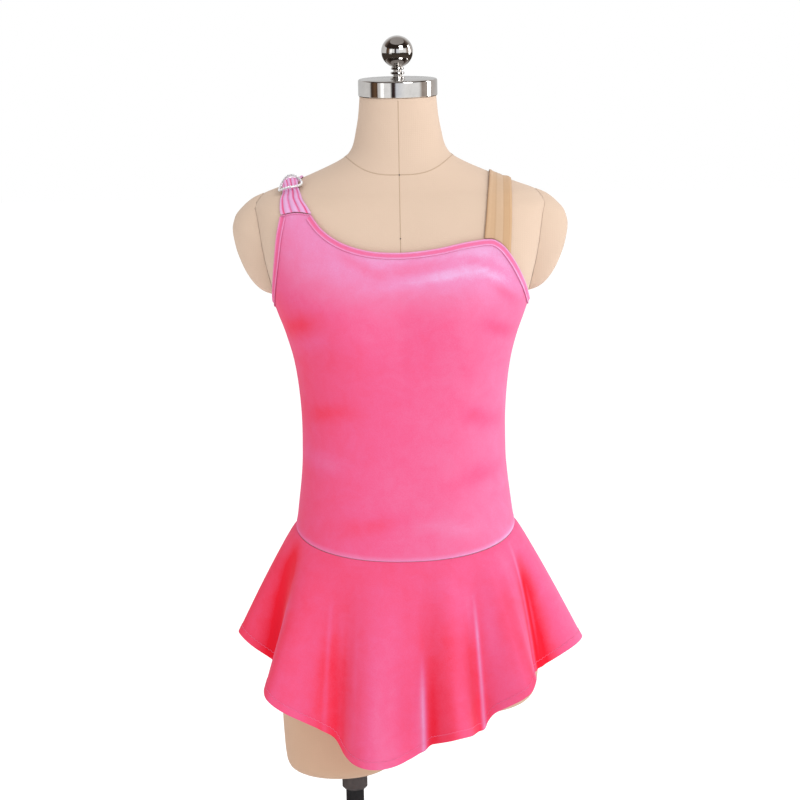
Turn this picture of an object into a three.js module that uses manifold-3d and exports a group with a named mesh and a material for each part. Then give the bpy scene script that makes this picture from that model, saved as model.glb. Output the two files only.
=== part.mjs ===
// A figure skating dress of pink stretch velvet, worn by a plain dressmaker's form on a stand.
// Millimetres, +Z up. The origin is on the floor, on the pole's axis; the dress faces -Y.
// The dress has an asymmetric neckline, one gathered velvet strap drawn through a ring, one
// skin-coloured mesh strap, and a flared skirt whose hem drops to a point left of centre.
import * as THREE from "three";
import { mergeVertices } from "three/addons/utils/BufferGeometryUtils.js";
import Module from "manifold-3d";

const wasm = await Module();
wasm.setup();

// Driving sizes
const TORSO_X = 68; // the form's middle plane stands this far from the pole's axis
const EASE = 1.5; // air between the form and the cloth
const CLOTH = 1.4; // velvet wall
const SEAM_GAP = 0.3; // between two pieces at a seam
const SIDE_SEAM = 90; // degrees round from the middle of the front

const BAND = { width: 7.5, lift: 0.6, thick: 0.9 };
const SEAM = { side: 651, frontDip: 23, backDip: 8, sharpness: 1.15 };
const BUST = { x: 70, height: 902, depth: 9, spreadX: 52, spreadZ: 50 };

// The figure's horizontal sections, from the closed hip up to the neck.
// half is the half width, front and back the depths from the side line, square the superellipse power.
const FIGURE = [
  { height: 423, half: 118, front: 62, back: 70, square: 2.3 },
  { height: 425, half: 134, front: 78, back: 86, square: 2.3 },
  { height: 430, half: 146, front: 88, back: 96, square: 2.3 },
  { height: 439, half: 153.5, front: 94, back: 102, square: 2.3 },
  { height: 456, half: 158, front: 98, back: 106, square: 2.25 },
  { height: 480, half: 160, front: 102, back: 111, square: 2.25 },
  { height: 510, half: 160.5, front: 106, back: 116, square: 2.2 },
  { height: 545, half: 159, front: 109, back: 117, square: 2.2 },
  { height: 580, half: 151, front: 110, back: 113, square: 2.2 },
  { height: 615, half: 141.2, front: 109, back: 106, square: 2.2 },
  { height: 650, half: 128.7, front: 105, back: 97, square: 2.2 },
  { height: 680, half: 124.7, front: 100, back: 89, square: 2.2 },
  { height: 710, half: 121, front: 96, back: 82, square: 2.2 },
  { height: 740, half: 119, front: 93, back: 77, square: 2.2 },
  { height: 770, half: 118.8, front: 92.5, back: 75, square: 2.2 },
  { height: 800, half: 120, front: 94.5, back: 75, square: 2.2 },
  { height: 830, half: 122.8, front: 98.5, back: 78, square: 2.25 },
  { height: 860, half: 127.8, front: 103.5, back: 84, square: 2.3 },
  { height: 890, half: 136.6, front: 107.5, back: 90, square: 2.35 },
  { height: 920, half: 147.6, front: 108.5, back: 95, square: 2.4 },
  { height: 950, half: 155.5, front: 105, back: 98, square: 2.5 },
  { height: 980, half: 163.5, front: 99, back: 98, square: 2.6 },
  { height: 1010, half: 171, front: 91.5, back: 94.5, square: 2.6 },
  { height: 1036, half: 174, front: 84, back: 87, square: 2.45 },
  { height: 1050, half: 163, front: 78.5, back: 80, square: 2.1 },
  { height: 1060, half: 139, front: 73, back: 74, square: 1.9 },
  { height: 1067, half: 120, front: 70, back: 69, square: 1.9 },
  { height: 1074, half: 103, front: 67.5, back: 64, square: 1.9 },
  { height: 1081, half: 87, front: 65.5, back: 59.5, square: 1.9 },
  { height: 1088, half: 72.5, front: 63, back: 56, square: 1.95 },
  { height: 1096, half: 60.5, front: 60, back: 53, square: 2 },
  { height: 1107, half: 54, front: 56.5, back: 49.5, square: 2 },
  { height: 1122, half: 50.5, front: 53, back: 46.5, square: 2 },
  { height: 1142, half: 47, front: 50, back: 44.5, square: 2 },
  { height: 1164, half: 45, front: 48, back: 42.5, square: 2 },
];

// The one thigh stump, under the figure's right hip, from its rounded foot up.
const THIGH = { x: -84.5, y: 4 };
const THIGH_RINGS = [
  { height: 340, half: 48, depth: 44 },
  { height: 342.5, half: 57, depth: 55 },
  { height: 348, half: 63.5, depth: 63 },
  { height: 358, half: 66.5, depth: 69 },
  { height: 380, half: 68.5, depth: 73 },
  { height: 420, half: 70, depth: 78 },
  { height: 460, half: 70, depth: 82 },
  { height: 500, half: 62, depth: 76 },
];

// A shoulder cap, seen from the front: how far its outside reaches at each height.
const CAP = { innerX: 128 };
const CAP_RINGS = [
  { height: 931, reach: 152, depth: 8 },
  { height: 934, reach: 161, depth: 12 },
  { height: 940, reach: 170, depth: 18 },
  { height: 953, reach: 180.5, depth: 24 },
  { height: 970, reach: 189, depth: 31 },
  { height: 990, reach: 195.5, depth: 39 },
  { height: 1010, reach: 198.5, depth: 43 },
  { height: 1025, reach: 195, depth: 42 },
  { height: 1038, reach: 184.5, depth: 37 },
  { height: 1047, reach: 173, depth: 23 },
  { height: 1052, reach: 162, depth: 12 },
];

// The bodice's top edges, seen from the front, as runs of (x, height) that meet at corners.
// Front: right armhole, velvet strap seam, then the neckline and left armhole in one curve.
const FRONT_EDGES = {
  armhole: { steps: 9, points: [[-149.2, 921], [-148, 945], [-145, 980], [-142, 1010], [-137.5, 1032]] },
  strapSeam: { steps: 5, points: [[-137.5, 1032], [-120, 1035.5], [-102.5, 1034]] },
  neckline: { steps: 15, points: [[-102.5, 1034], [-90, 1018], [-70, 1004], [-40, 994], [0, 991],
    [40, 994.5], [75, 1001], [96, 1003.5]] },
  meshSeam: { steps: 5, points: [[96, 1003.5], [107, 1002.5], [118, 995], [126, 984.5]] },
  farArmhole: { steps: 6, points: [[126, 984.5], [133.5, 971], [142, 950], [149.2, 921]] },
};
const BACK_EDGES = {
  armhole: { steps: 6, points: [[-149.2, 921], [-147, 945], [-138, 972], [-128, 990]] },
  strapSeam: { steps: 4, points: [[-128, 990], [-113, 992], [-98, 989]] },
  neckline: { steps: 12, points: [[-98, 989], [-80, 960], [-45, 934], [0, 926], [45, 934], [92, 962]] },
  meshSeam: { steps: 3, points: [[92, 962], [105, 967], [118, 964]] },
  farArmhole: { steps: 5, points: [[118, 964], [134, 950], [144, 936], [149.2, 921]] },
};

// How the skirt is cut and hangs, by degrees round from the middle of the front, + to the form's left.
// length is seam to hem, flare how far the hem stands off the waist seam between folds.
const SKIRT_CUT = [
  { at: -180, length: 166, flare: 66 },
  { at: -130, length: 164, flare: 66 },
  { at: -100, length: 152, flare: 62 },
  { at: -83, length: 145.5, flare: 61 },
  { at: -66, length: 156, flare: 59 },
  { at: -50, length: 189, flare: 60 },
  { at: -30, length: 213, flare: 58 },
  { at: -24, length: 230, flare: 57 },
  { at: -12, length: 242, flare: 56 },
  { at: 5, length: 222, flare: 54 },
  { at: 8, length: 214, flare: 54 },
  { at: 16, length: 209.5, flare: 54 },
  { at: 29, length: 206, flare: 56 },
  { at: 34, length: 188, flare: 57 },
  { at: 42, length: 178.5, flare: 57.5 },
  { at: 49, length: 164.5, flare: 57 },
  { at: 63, length: 163, flare: 59 },
  { at: 83, length: 161, flare: 63.5 },
  { at: 130, length: 166, flare: 66 },
  { at: 180, length: 166, flare: 66 },
];
// Crests stand out (+) and troughs fall in (-), in millimetres at the hem.
const FOLDS = [
  { at: -180, out: 15 },
  { at: -165, out: -15 },
  { at: -149, out: 16 },
  { at: -132, out: -15 },
  { at: -116, out: 15 },
  { at: -101, out: -12 },
  { at: -83, out: 12 },
  { at: -67, out: -22 },
  { at: -50, out: 24 },
  { at: -30, out: -20 },
  { at: -12, out: 20 },
  { at: 4.5, out: -17 },
  { at: 16, out: 20 },
  { at: 30, out: -18 },
  { at: 42, out: 20 },
  { at: 63, out: -22 },
  { at: 83, out: 17 },
  { at: 100, out: -12 },
  { at: 116, out: 15 },
  { at: 132, out: -15 },
  { at: 149, out: 16 },
  { at: 165, out: -15 },
  { at: 180, out: 15 },
];
const SKIRT = { wall: 1.2, flarePower: 0.78, foldPower: 1.25, rows: 8, frontColumns: 70, backColumns: 50, hipClear: 2.5 };

// The gathered strap: how wide it is and how high it stands off the shoulder, by place along it.
// span is 0 at the front seam and 1 at the back one. The hump in the middle goes over the ring's bar.
const STRAP = { reach: 0.12, thick: 2.2, gathers: 4, gatherDepth: 0.8, gatherShift: 0.35, topX: -126, columns: 12 };
// At the back no strap draws in from its seam in less than this share of its length.
const BACK_REACH = 0.26;
const RING_SPAN = 0.22;
const STRAP_ROWS = [
  { span: 0, half: 17.2, lift: 0.8 },
  { span: 0.06, half: 13.8, lift: 1 },
  { span: 0.12, half: 12.4, lift: 1 },
  { span: 0.16, half: 10.8, lift: 0.9 },
  { span: 0.19, half: 9.6, lift: 2.8 },
  { span: RING_SPAN, half: 9.2, lift: 4.9 },
  { span: 0.25, half: 9.2, lift: 4.9 },
  { span: 0.28, half: 9.6, lift: 3.2 },
  { span: 0.33, half: 11, lift: 2 },
  { span: 0.4, half: 12.4, lift: 1 },
  { span: 0.6, half: 13, lift: 1 },
  { span: 0.9, half: 13.8, lift: 1 },
  { span: 1, half: 15, lift: 0.8 },
];
const RING = {
  across: 14, along: 12.5, wire: 1.5, sideHeight: 4.1, frontHeight: 9.6, backHeight: 12.5, barHeight: 2.5, barWire: 1.1,
  turned: -0.12,
};
const MESH_STRAP = { reach: 0.45, topX: 118.5, topHalf: 12.5, lift: 1.1, thick: 1, columns: 3, rows: 20 };
const STRAP_RISE = 1.1; // a strap ends this far above the panel edge that it is sewn to
const SHOULDER_AXIS = 950; // straps are laid by the angle round this height

// Stand and fittings
const NECK_CAP = { radius: 46.5, base: 1164.4, top: 1184, round: 2.5, y: -2.5 };
const FINIAL = { ball: 18.6, stem: 14.5 };
const POLE = { radius: 11, top: 339.6, collarRadius: 15.5, collarHeight: 26 };
const BASE = { radius: 175, thick: 10, round: 3, hub: 26, hubHeight: 22 };

const radians = THREE.MathUtils.degToRad;
const lerp = THREE.MathUtils.lerp;

// A smooth curve through a table's rows that never overshoots them.
function curve(rows, along, column) {
  const x = rows.map((r) => r[along]);
  const y = rows.map((r) => r[column]);
  const slopes = x.slice(1).map((v, i) => (y[i + 1] - y[i]) / (v - x[i]));
  const tangent = x.map((v, i) => {
    if (i === 0) return slopes[0];
    if (i === x.length - 1) return slopes[i - 1];
    const [before, after] = [slopes[i - 1], slopes[i]];
    return before * after <= 0 ? 0 : (2 * before * after) / (before + after);
  });
  return (at) => {
    let i = 0;
    while (i < x.length - 2 && at > x[i + 1]) i++;
    const span = x[i + 1] - x[i];
    const t = THREE.MathUtils.clamp((at - x[i]) / span, 0, 1);
    const [t2, t3] = [t * t, t * t * t];
    return (2 * t3 - 3 * t2 + 1) * y[i] + (t3 - 2 * t2 + t) * span * tangent[i]
      + (3 * t2 - 2 * t3) * y[i + 1] + (t3 - t2) * span * tangent[i + 1];
  };
}

const figure = Object.fromEntries(
  ["half", "front", "back", "square"].map((column) => [column, curve(FIGURE, "height", column)]),
);

// A point on the figure: round is degrees from the middle of the front, + to the form's left.
function bodyPoint(round, height) {
  const angle = radians(round);
  const [s, c] = [Math.sin(angle), Math.cos(angle)];
  const power = 2 / figure.square(height);
  const x = figure.half(height) * Math.sign(s) * Math.abs(s) ** power;
  const depth = (c > 0 ? figure.front(height) : figure.back(height)) * Math.abs(c) ** power;
  const fullness = c > 0
    ? BUST.depth * Math.min(1, 2 * c)
      * Math.exp(-(((Math.abs(x) - BUST.x) / BUST.spreadX) ** 2) - ((height - BUST.height) / BUST.spreadZ) ** 2)
    : 0;
  return new THREE.Vector3(x, c > 0 ? -depth - fullness : depth, height);
}

function bodyFrame(round, height) {
  const [stepRound, stepHeight] = [0.25, 0.5];
  const across = bodyPoint(round + stepRound, height).sub(bodyPoint(round - stepRound, height))
    .divideScalar(2 * stepRound);
  const up = bodyPoint(round, height + stepHeight).sub(bodyPoint(round, height - stepHeight))
    .divideScalar(2 * stepHeight);
  return { across, up, normal: across.clone().cross(up).normalize() };
}

function offBody(round, height, distance) {
  return bodyPoint(round, height).addScaledVector(bodyFrame(round, height).normal, distance);
}

// The angle round the figure at which it has this x, on the front.
function roundAt(x, height) {
  const share = Math.min(1, Math.abs(x) / figure.half(height));
  return Math.sign(x) * THREE.MathUtils.radToDeg(Math.asin(share ** (figure.square(height) / 2)));
}

function seamHeight(round) {
  const c = Math.cos(radians(round));
  return SEAM.side - (c > 0 ? SEAM.frontDip * c ** SEAM.sharpness : SEAM.backDip * c * c);
}

function geometryOf(points, triangles) {
  const geometry = new THREE.BufferGeometry();
  geometry.setAttribute("position", new THREE.Float32BufferAttribute(points.flatMap((p) => [p.x, p.y, p.z]), 3));
  geometry.setIndex(triangles);
  return geometry;
}

// A closed wall between two grids of points, rows by columns, open on all four sides.
function wall(inner, outer) {
  const [rows, columns] = [inner.length, inner[0].length];
  const points = [...outer.flat(), ...inner.flat()];
  const triangles = [];
  const at = (side, i, j) => side * rows * columns + i * columns + j;
  const quad = (a, b, c, d) => triangles.push(a, b, c, a, c, d);
  for (let i = 0; i < rows - 1; i++)
    for (let j = 0; j < columns - 1; j++) {
      quad(at(0, i, j), at(0, i, j + 1), at(0, i + 1, j + 1), at(0, i + 1, j));
      quad(at(1, i, j), at(1, i + 1, j), at(1, i + 1, j + 1), at(1, i, j + 1));
    }
  for (let j = 0; j < columns - 1; j++) {
    quad(at(1, 0, j), at(1, 0, j + 1), at(0, 0, j + 1), at(0, 0, j));
    quad(at(0, rows - 1, j), at(0, rows - 1, j + 1), at(1, rows - 1, j + 1), at(1, rows - 1, j));
  }
  for (let i = 0; i < rows - 1; i++) {
    quad(at(0, i, 0), at(0, i + 1, 0), at(1, i + 1, 0), at(1, i, 0));
    quad(at(1, i, columns - 1), at(1, i + 1, columns - 1), at(0, i + 1, columns - 1), at(0, i, columns - 1));
  }
  return geometryOf(points, triangles);
}

// A closed solid through horizontal rings of points, the first ring lowest, each turning anticlockwise.
function loft(rings) {
  const count = rings[0].length;
  const middle = (ring) => ring.reduce((sum, p) => sum.add(p), new THREE.Vector3()).divideScalar(count);
  const points = [...rings.flat(), middle(rings[0]), middle(rings.at(-1))];
  const [bottom, top] = [points.length - 2, points.length - 1];
  const triangles = [];
  for (let j = 0; j < count; j++) {
    const next = (j + 1) % count;
    for (let i = 0; i < rings.length - 1; i++) {
      const [a, b] = [i * count + j, i * count + next];
      triangles.push(a, b, b + count, a, b + count, a + count);
    }
    const last = (rings.length - 1) * count;
    triangles.push(bottom, next, j, top, last + j, last + next);
  }
  return geometryOf(points, triangles);
}

function solidOf(geometry) {
  const bare = geometry.clone();
  bare.deleteAttribute("normal");
  bare.deleteAttribute("uv");
  const merged = mergeVertices(bare, 1e-4);
  return new wasm.Manifold(new wasm.Mesh({
    numProp: 3,
    vertProperties: merged.attributes.position.array,
    triVerts: new Uint32Array(merged.index.array),
  }));
}

function geometryFrom(solid) {
  const mesh = solid.getMesh();
  const geometry = new THREE.BufferGeometry();
  geometry.setAttribute("position", new THREE.BufferAttribute(mesh.vertProperties.slice(), 3));
  geometry.setIndex(new THREE.BufferAttribute(mesh.triVerts.slice(), 1));
  return geometry;
}

const largest = (solid) => solid.decompose().reduce((a, b) => (a.volume() > b.volume() ? a : b));

// Materials
const finish = (color, roughness, metalness = 0) =>
  new THREE.MeshStandardMaterial({ color, roughness, metalness });
const velvet = finish(0xf2669b, 0.75);
const mesh = finish(0xe0bc98, 0.8);
const jersey = finish(0xe6cbb4, 0.85);
const chrome = finish(0xc9c6c4, 0.12, 1);
const blackSteel = finish(0x17171a, 0.45, 0.6);

const part = new THREE.Group();
const worn = new THREE.Group();
worn.position.x = TORSO_X;
part.add(worn);

function place(group, name, geometry, material) {
  const piece = new THREE.Mesh(geometry, material);
  piece.name = name;
  group.add(piece);
  return piece;
}

// The form: a torso with its neck, and one thigh stump joined under the right hip
const FORM_COLUMNS = 44;
const FORM_HEIGHTS = FIGURE.map((row) => row.height);

function torsoRings(offset) {
  return FORM_HEIGHTS.map((height, i) => Array.from({ length: FORM_COLUMNS }, (_, j) => {
    const round = (360 * j) / FORM_COLUMNS;
    const atEnd = i === 0 || i === FORM_HEIGHTS.length - 1;
    if (offset === 0 || atEnd) return bodyPoint(round, height);
    return offBody(round, height, offset);
  }));
}

function thighRings() {
  const columns = 24;
  return THIGH_RINGS.map(({ height, half, depth }) => Array.from({ length: columns }, (_, j) => {
    const angle = (2 * Math.PI * j) / columns;
    return new THREE.Vector3(THIGH.x + half * Math.sin(angle), THIGH.y - depth * Math.cos(angle), height);
  }));
}

const torso = solidOf(loft(torsoRings(0)));
place(worn, "form_torso", geometryFrom(torso.add(solidOf(loft(thighRings())))), jersey);

// The shoulder caps: rounded ends that butt against the torso's sides
function capRings(side) {
  const columns = 24;
  return CAP_RINGS.map(({ height, reach, depth }) => Array.from({ length: columns }, (_, j) => {
    const angle = (2 * Math.PI * j) / columns;
    const x = side * CAP.innerX + (reach - CAP.innerX) * Math.sin(angle);
    return new THREE.Vector3(x, -depth * Math.cos(angle), height);
  }));
}

const clearedTorso = solidOf(loft(torsoRings(SEAM_GAP)));
for (const [name, side] of [["form_cap_right", -1], ["form_cap_left", 1]])
  place(worn, name, geometryFrom(largest(solidOf(loft(capRings(side))).subtract(clearedTorso))), jersey);

// Turned metal: the neck cap and the ball finial on it
function turned(profile, segments) {
  const outline = profile.map(([radius, height]) => new THREE.Vector2(radius, height));
  const geometry = new THREE.LatheGeometry(outline, segments);
  geometry.rotateX(Math.PI / 2);
  return geometry;
}

const { radius: capRadius, base: capBase, top: capTop, round: capRound } = NECK_CAP;
const neckCap = place(worn, "neck_cap", turned([
  [0, capBase], [capRadius - 0.8, capBase], [capRadius, capBase + 0.8], [capRadius, capTop - capRound],
  [capRadius - 0.3 * capRound, capTop - 0.3 * capRound], [capRadius - capRound, capTop], [0, capTop],
], 36), chrome);
neckCap.position.y = NECK_CAP.y;

function finialProfile() {
  const foot = capTop + SEAM_GAP;
  const neck = [[0, foot], [8.5, foot], [8.5, foot + 2], [5, foot + 3.6], [8, foot + 5.6], [8, foot + 7.2],
    [4.6, foot + 9], [7.6, foot + 11], [7.2, foot + 13], [5, foot + FINIAL.stem]];
  const centre = foot + FINIAL.stem - 1 + Math.sqrt(FINIAL.ball ** 2 - 5 ** 2);
  const from = Math.asin(5 / FINIAL.ball);
  const steps = 9;
  const ball = Array.from({ length: steps }, (_, i) => {
    const angle = lerp(from, Math.PI, (i + 1) / steps);
    return [i === steps - 1 ? 0 : FINIAL.ball * Math.sin(angle), centre - FINIAL.ball * Math.cos(angle)];
  });
  return [...neck, ...ball];
}
place(worn, "neck_finial", turned(finialProfile(), 20), chrome).position.y = NECK_CAP.y;

// The stand: a round plate with its hub, the pole, and the collar under the thigh
const baseProfile = [
  [0, 0], [BASE.radius - BASE.round, 0], [BASE.radius, BASE.round], [BASE.radius, BASE.thick - BASE.round],
  [BASE.radius - BASE.round, BASE.thick], [BASE.hub, BASE.thick + 1],
  [BASE.hub - 4, BASE.thick + BASE.hubHeight], [0, BASE.thick + BASE.hubHeight],
];
place(part, "stand_base", turned(baseProfile, 44), blackSteel);
const poleFoot = BASE.thick + BASE.hubHeight + SEAM_GAP;
const collarFoot = POLE.top - POLE.collarHeight;
place(part, "stand_pole", turned([
  [0, poleFoot], [POLE.radius, poleFoot], [POLE.radius, collarFoot - SEAM_GAP], [0, collarFoot - SEAM_GAP],
], 24), blackSteel);
place(part, "stand_collar", turned([
  [0, collarFoot], [POLE.collarRadius - 3, collarFoot], [POLE.collarRadius, collarFoot + 3],
  [POLE.collarRadius, POLE.top], [0, POLE.top],
], 24), blackSteel);

// The bodice: each column of cloth runs from the waist seam up to its point on the top edge
// Places on an edge are spaced evenly along the figure's own surface.
function edgeRuns(edges, isFront) {
  const fine = 200;
  return Object.fromEntries(Object.entries(edges).map(([name, { points, steps }]) => {
    const path = new THREE.CatmullRomCurve3(points.map(([x, z]) => new THREE.Vector3(x, 0, z)), false, "centripetal");
    const places = path.getPoints(fine).map(({ x, z }) => {
      const round = roundAt(x, z);
      return { round: isFront ? round : (round < 0 ? -1 : 1) * (180 - Math.abs(round)), height: z };
    });
    const spots = places.map((e) => bodyPoint(e.round, e.height));
    const lengths = spots.reduce((sum, p, i) => [...sum, i ? sum[i - 1] + p.distanceTo(spots[i - 1]) : 0], []);
    const run = Array.from({ length: steps + 1 }, (_, k) => {
      const goal = (lengths.at(-1) * k) / steps;
      return places[Math.max(0, lengths.findIndex((length) => length >= goal - 1e-9))];
    });
    return [name, run];
  }));
}

const joined = (runs) => runs.flatMap((run, i) => (i === 0 ? run : run.slice(1)));

// The back's angles run past 180 degrees so that they keep rising from one side seam to the other.
const unwrapped = (round) => (round < 0 ? round + 360 : round);

function bodicePanel(edge, fromRound, toRound, rows) {
  const columns = edge.length;
  const seamInset = THREE.MathUtils.radToDeg(SEAM_GAP / 2 / figure.half(SEAM.side));
  const side = (j) => (j === 0 ? seamInset : j === columns - 1 ? -seamInset : 0);
  const grid = (offset) => Array.from({ length: rows + 1 }, (_, i) => edge.map((top, j) => {
    const share = i / rows;
    const foot = lerp(fromRound, toRound, j / (columns - 1));
    const round = lerp(foot, top.round, share ** 1.4) + side(j);
    return offBody(round, lerp(seamHeight(foot), top.height, share), offset);
  }));
  return wall(grid(EASE), grid(EASE + CLOTH));
}

const frontRuns = edgeRuns(FRONT_EDGES, true);
const backRuns = edgeRuns(BACK_EDGES, false);
const frontEdge = joined(Object.values(frontRuns));
const backEdge = joined(Object.values(backRuns)).map((e) => ({ ...e, round: unwrapped(e.round) })).reverse();
place(worn, "bodice_front", bodicePanel(frontEdge, -SIDE_SEAM, SIDE_SEAM, 14), velvet);
place(worn, "bodice_back", bodicePanel(backEdge, SIDE_SEAM, 360 - SIDE_SEAM, 12), velvet);

// The edge bands: strips folded and stitched along the top edges, laid on the panel's own surface
function band(edge) {
  const across = 3;
  const base = (e) => bodyPoint(e.round, e.height);
  const frames = edge.map((e, i) => {
    const before = base(edge[Math.max(0, i - 1)]);
    const after = base(edge[Math.min(edge.length - 1, i + 1)]);
    const { across: perDegree, up, normal } = bodyFrame(e.round, e.height);
    const inward = after.sub(before).normalize().cross(normal).normalize();
    const det = perDegree.dot(perDegree) * up.dot(up) - perDegree.dot(up) ** 2;
    const [p, q] = [inward.dot(perDegree), inward.dot(up)];
    return {
      degrees: (p * up.dot(up) - q * perDegree.dot(up)) / det,
      rise: (q * perDegree.dot(perDegree) - p * perDegree.dot(up)) / det,
    };
  });
  const grid = (offset) => Array.from({ length: across + 1 }, (_, i) => edge.map((e, j) => {
    const inset = BAND.width * (1 - i / across);
    return offBody(e.round + frames[j].degrees * inset, e.height + frames[j].rise * inset, offset);
  }));
  const lowest = EASE + CLOTH + BAND.lift;
  return wall(grid(lowest), grid(lowest + BAND.thick));
}

// Bands stop short of the side seams and of each other at the straps' corners.
const trimmed = (run, atStart, atEnd) => {
  const shift = (e, towards, share) => ({
    round: lerp(e.round, towards.round, share),
    height: lerp(e.height, towards.height, share),
  });
  const cut = run.map((e) => ({ ...e }));
  if (atStart) cut[0] = shift(run[0], run[1], atStart);
  if (atEnd) cut[cut.length - 1] = shift(run.at(-1), run.at(-2), atEnd);
  return cut;
};
const backRun = (...names) => joined(names.map((n) => backRuns[n]))
  .map((e) => ({ ...e, round: unwrapped(e.round) })).reverse();
place(worn, "band_armhole_front", band(trimmed(frontRuns.armhole, 0.15, 0.1)), velvet);
place(worn, "band_neck_front",
  band(trimmed(joined([frontRuns.neckline, frontRuns.meshSeam, frontRuns.farArmhole]), 0.1, 0.15)), velvet);
place(worn, "band_neck_back", band(trimmed(backRun("neckline", "meshSeam", "farArmhole"), 0.15, 0.1)), velvet);
place(worn, "band_armhole_back", band(trimmed(backRun("armhole"), 0.1, 0.15)), velvet);

// The skirt: a flared ring of cloth whose folds deepen towards the hem
const foldAt = (round) => {
  let i = 0;
  while (i < FOLDS.length - 2 && round > FOLDS[i + 1].at) i++;
  const share = (round - FOLDS[i].at) / (FOLDS[i + 1].at - FOLDS[i].at);
  return lerp(FOLDS[i].out, FOLDS[i + 1].out, (1 - Math.cos(Math.PI * share)) / 2);
};
const cut = {
  length: curve(SKIRT_CUT, "at", "length"),
  flare: curve(SKIRT_CUT, "at", "flare"),
};

function skirtPoint(round, share) {
  const turn = ((((round + 180) % 360) + 360) % 360) - 180;
  const start = seamHeight(turn) - 2 * SEAM_GAP;
  const stand = cut.flare(turn) * share ** SKIRT.flarePower + foldAt(turn) * share ** SKIRT.foldPower;
  const reach = cut.flare(turn) + foldAt(turn);
  const height = start - share * Math.sqrt(cut.length(turn) ** 2 - reach ** 2);
  const waist = bodyPoint(turn, start);
  const { normal } = bodyFrame(turn, start);
  const outward = new THREE.Vector3(normal.x, normal.y, 0).normalize();
  const hip = bodyPoint(turn, height).sub(waist).dot(outward) + SKIRT.hipClear;
  const clear = share < 0.02 ? stand : Math.max(stand, hip);
  const point = waist.addScaledVector(outward, EASE + CLOTH / 2 + clear);
  point.z = height;
  return point;
}

function skirtPanel(fromRound, toRound, columns) {
  const inset = THREE.MathUtils.radToDeg(SEAM_GAP / 2 / figure.half(SEAM.side));
  const { rows } = SKIRT;
  const step = { round: 0.2, share: 0.004 };
  const grid = (offset) => Array.from({ length: rows + 1 }, (_, i) =>
    Array.from({ length: columns + 1 }, (_, j) => {
      const share = 1 - i / rows;
      const round = lerp(fromRound + inset, toRound - inset, j / columns);
      const point = skirtPoint(round, share);
      const across = skirtPoint(round + step.round, share).sub(skirtPoint(round - step.round, share));
      const above = skirtPoint(round, Math.max(0, share - step.share));
      const up = above.sub(skirtPoint(round, Math.min(1, share + step.share)));
      return point.addScaledVector(across.cross(up).normalize(), offset);
    }));
  return wall(grid(-SKIRT.wall / 2), grid(SKIRT.wall / 2));
}
place(worn, "skirt_front", skirtPanel(-SIDE_SEAM, SIDE_SEAM, SKIRT.frontColumns), velvet);
place(worn, "skirt_back", skirtPanel(SIDE_SEAM, 360 - SIDE_SEAM, SKIRT.backColumns), velvet);

// The straps: laid over the shoulder by x and by the angle round a level line through it
const outside = (x, y, z) => {
  const power = figure.square(z);
  const depth = y < 0 ? figure.front(z) : figure.back(z);
  return (Math.abs(x) / figure.half(z)) ** power + (Math.abs(y) / depth) ** power - 1;
};

function shoulderPoint(x, angle) {
  const [y, z] = [-Math.sin(angle), Math.cos(angle)];
  let [near, far] = [0, 220];
  for (let i = 0; i < 40; i++) {
    const reach = (near + far) / 2;
    if (outside(x, y * reach, SHOULDER_AXIS + z * reach) < 0) near = reach;
    else far = reach;
  }
  return new THREE.Vector3(x, y * near, SHOULDER_AXIS + z * near);
}

function shoulderNormal(x, angle) {
  const [stepX, stepAngle] = [0.5, 0.01];
  const across = shoulderPoint(x + stepX, angle).sub(shoulderPoint(x - stepX, angle));
  const up = shoulderPoint(x, angle - stepAngle).sub(shoulderPoint(x, angle + stepAngle));
  return across.cross(up).normalize();
}

// One end of a strap: its x and angle along the panel's edge that it is sewn to, lifted clear by the seam gap.
function strapEnd(run, share) {
  const place = share * (run.length - 1);
  const i = Math.min(run.length - 2, Math.floor(place));
  const round = lerp(run[i].round, run[i + 1].round, place - i);
  const height = lerp(run[i].height, run[i + 1].height, place - i) + STRAP_RISE;
  const { x, y, z } = bodyPoint(round, height);
  return { x, angle: Math.atan2(-y, z - SHOULDER_AXIS) };
}

function strapPlace(frontRun, backRun, topX, halfAt, reach, across, span) {
  const [front, back] = [strapEnd(frontRun, across), strapEnd(backRun, across)];
  const angle = lerp(front.angle, back.angle, span);
  const gathered = topX + (2 * across - 1) * halfAt(span);
  const hold = Math.max(0, 1 - span / reach) ** 1.5;
  const holdBack = Math.max(0, 1 - (1 - span) / Math.max(reach, BACK_REACH)) ** 1.5;
  const drift = lerp(gathered, front.x, hold);
  return { x: lerp(drift, back.x, holdBack), angle };
}

const strapHalf = curve(STRAP_ROWS, "span", "half");
const strapLift = curve(STRAP_ROWS, "span", "lift");
const strapSpans = STRAP_ROWS.flatMap((row, i) => {
  const next = STRAP_ROWS[i + 1];
  if (!next) return [row.span];
  const steps = Math.max(2, Math.ceil((next.span - row.span) / 0.06));
  return Array.from({ length: steps }, (_, k) => lerp(row.span, next.span, k / steps));
});

function gatheredStrap() {
  const grid = (isOuter) => strapSpans.map((span) => Array.from({ length: STRAP.columns + 1 }, (_, j) => {
    const across = j / STRAP.columns;
    const { x, angle } = strapPlace(frontRuns.strapSeam, backRuns.strapSeam, STRAP.topX, strapHalf, STRAP.reach, across, span);
    const edge = Math.sqrt(Math.max(0, 1 - (2 * across - 1) ** 2));
    const wave = Math.cos(2 * Math.PI * (STRAP.gathers * across + STRAP.gatherShift * span));
    const fullness = STRAP.thick * (0.45 + 0.55 * edge) + STRAP.gatherDepth * wave * edge;
    const offset = strapLift(span) + (isOuter ? fullness : 0);
    return shoulderPoint(x, angle).addScaledVector(shoulderNormal(x, angle), offset);
  }));
  return wall(grid(false), grid(true));
}
place(worn, "strap_velvet", gatheredStrap(), velvet);

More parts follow.
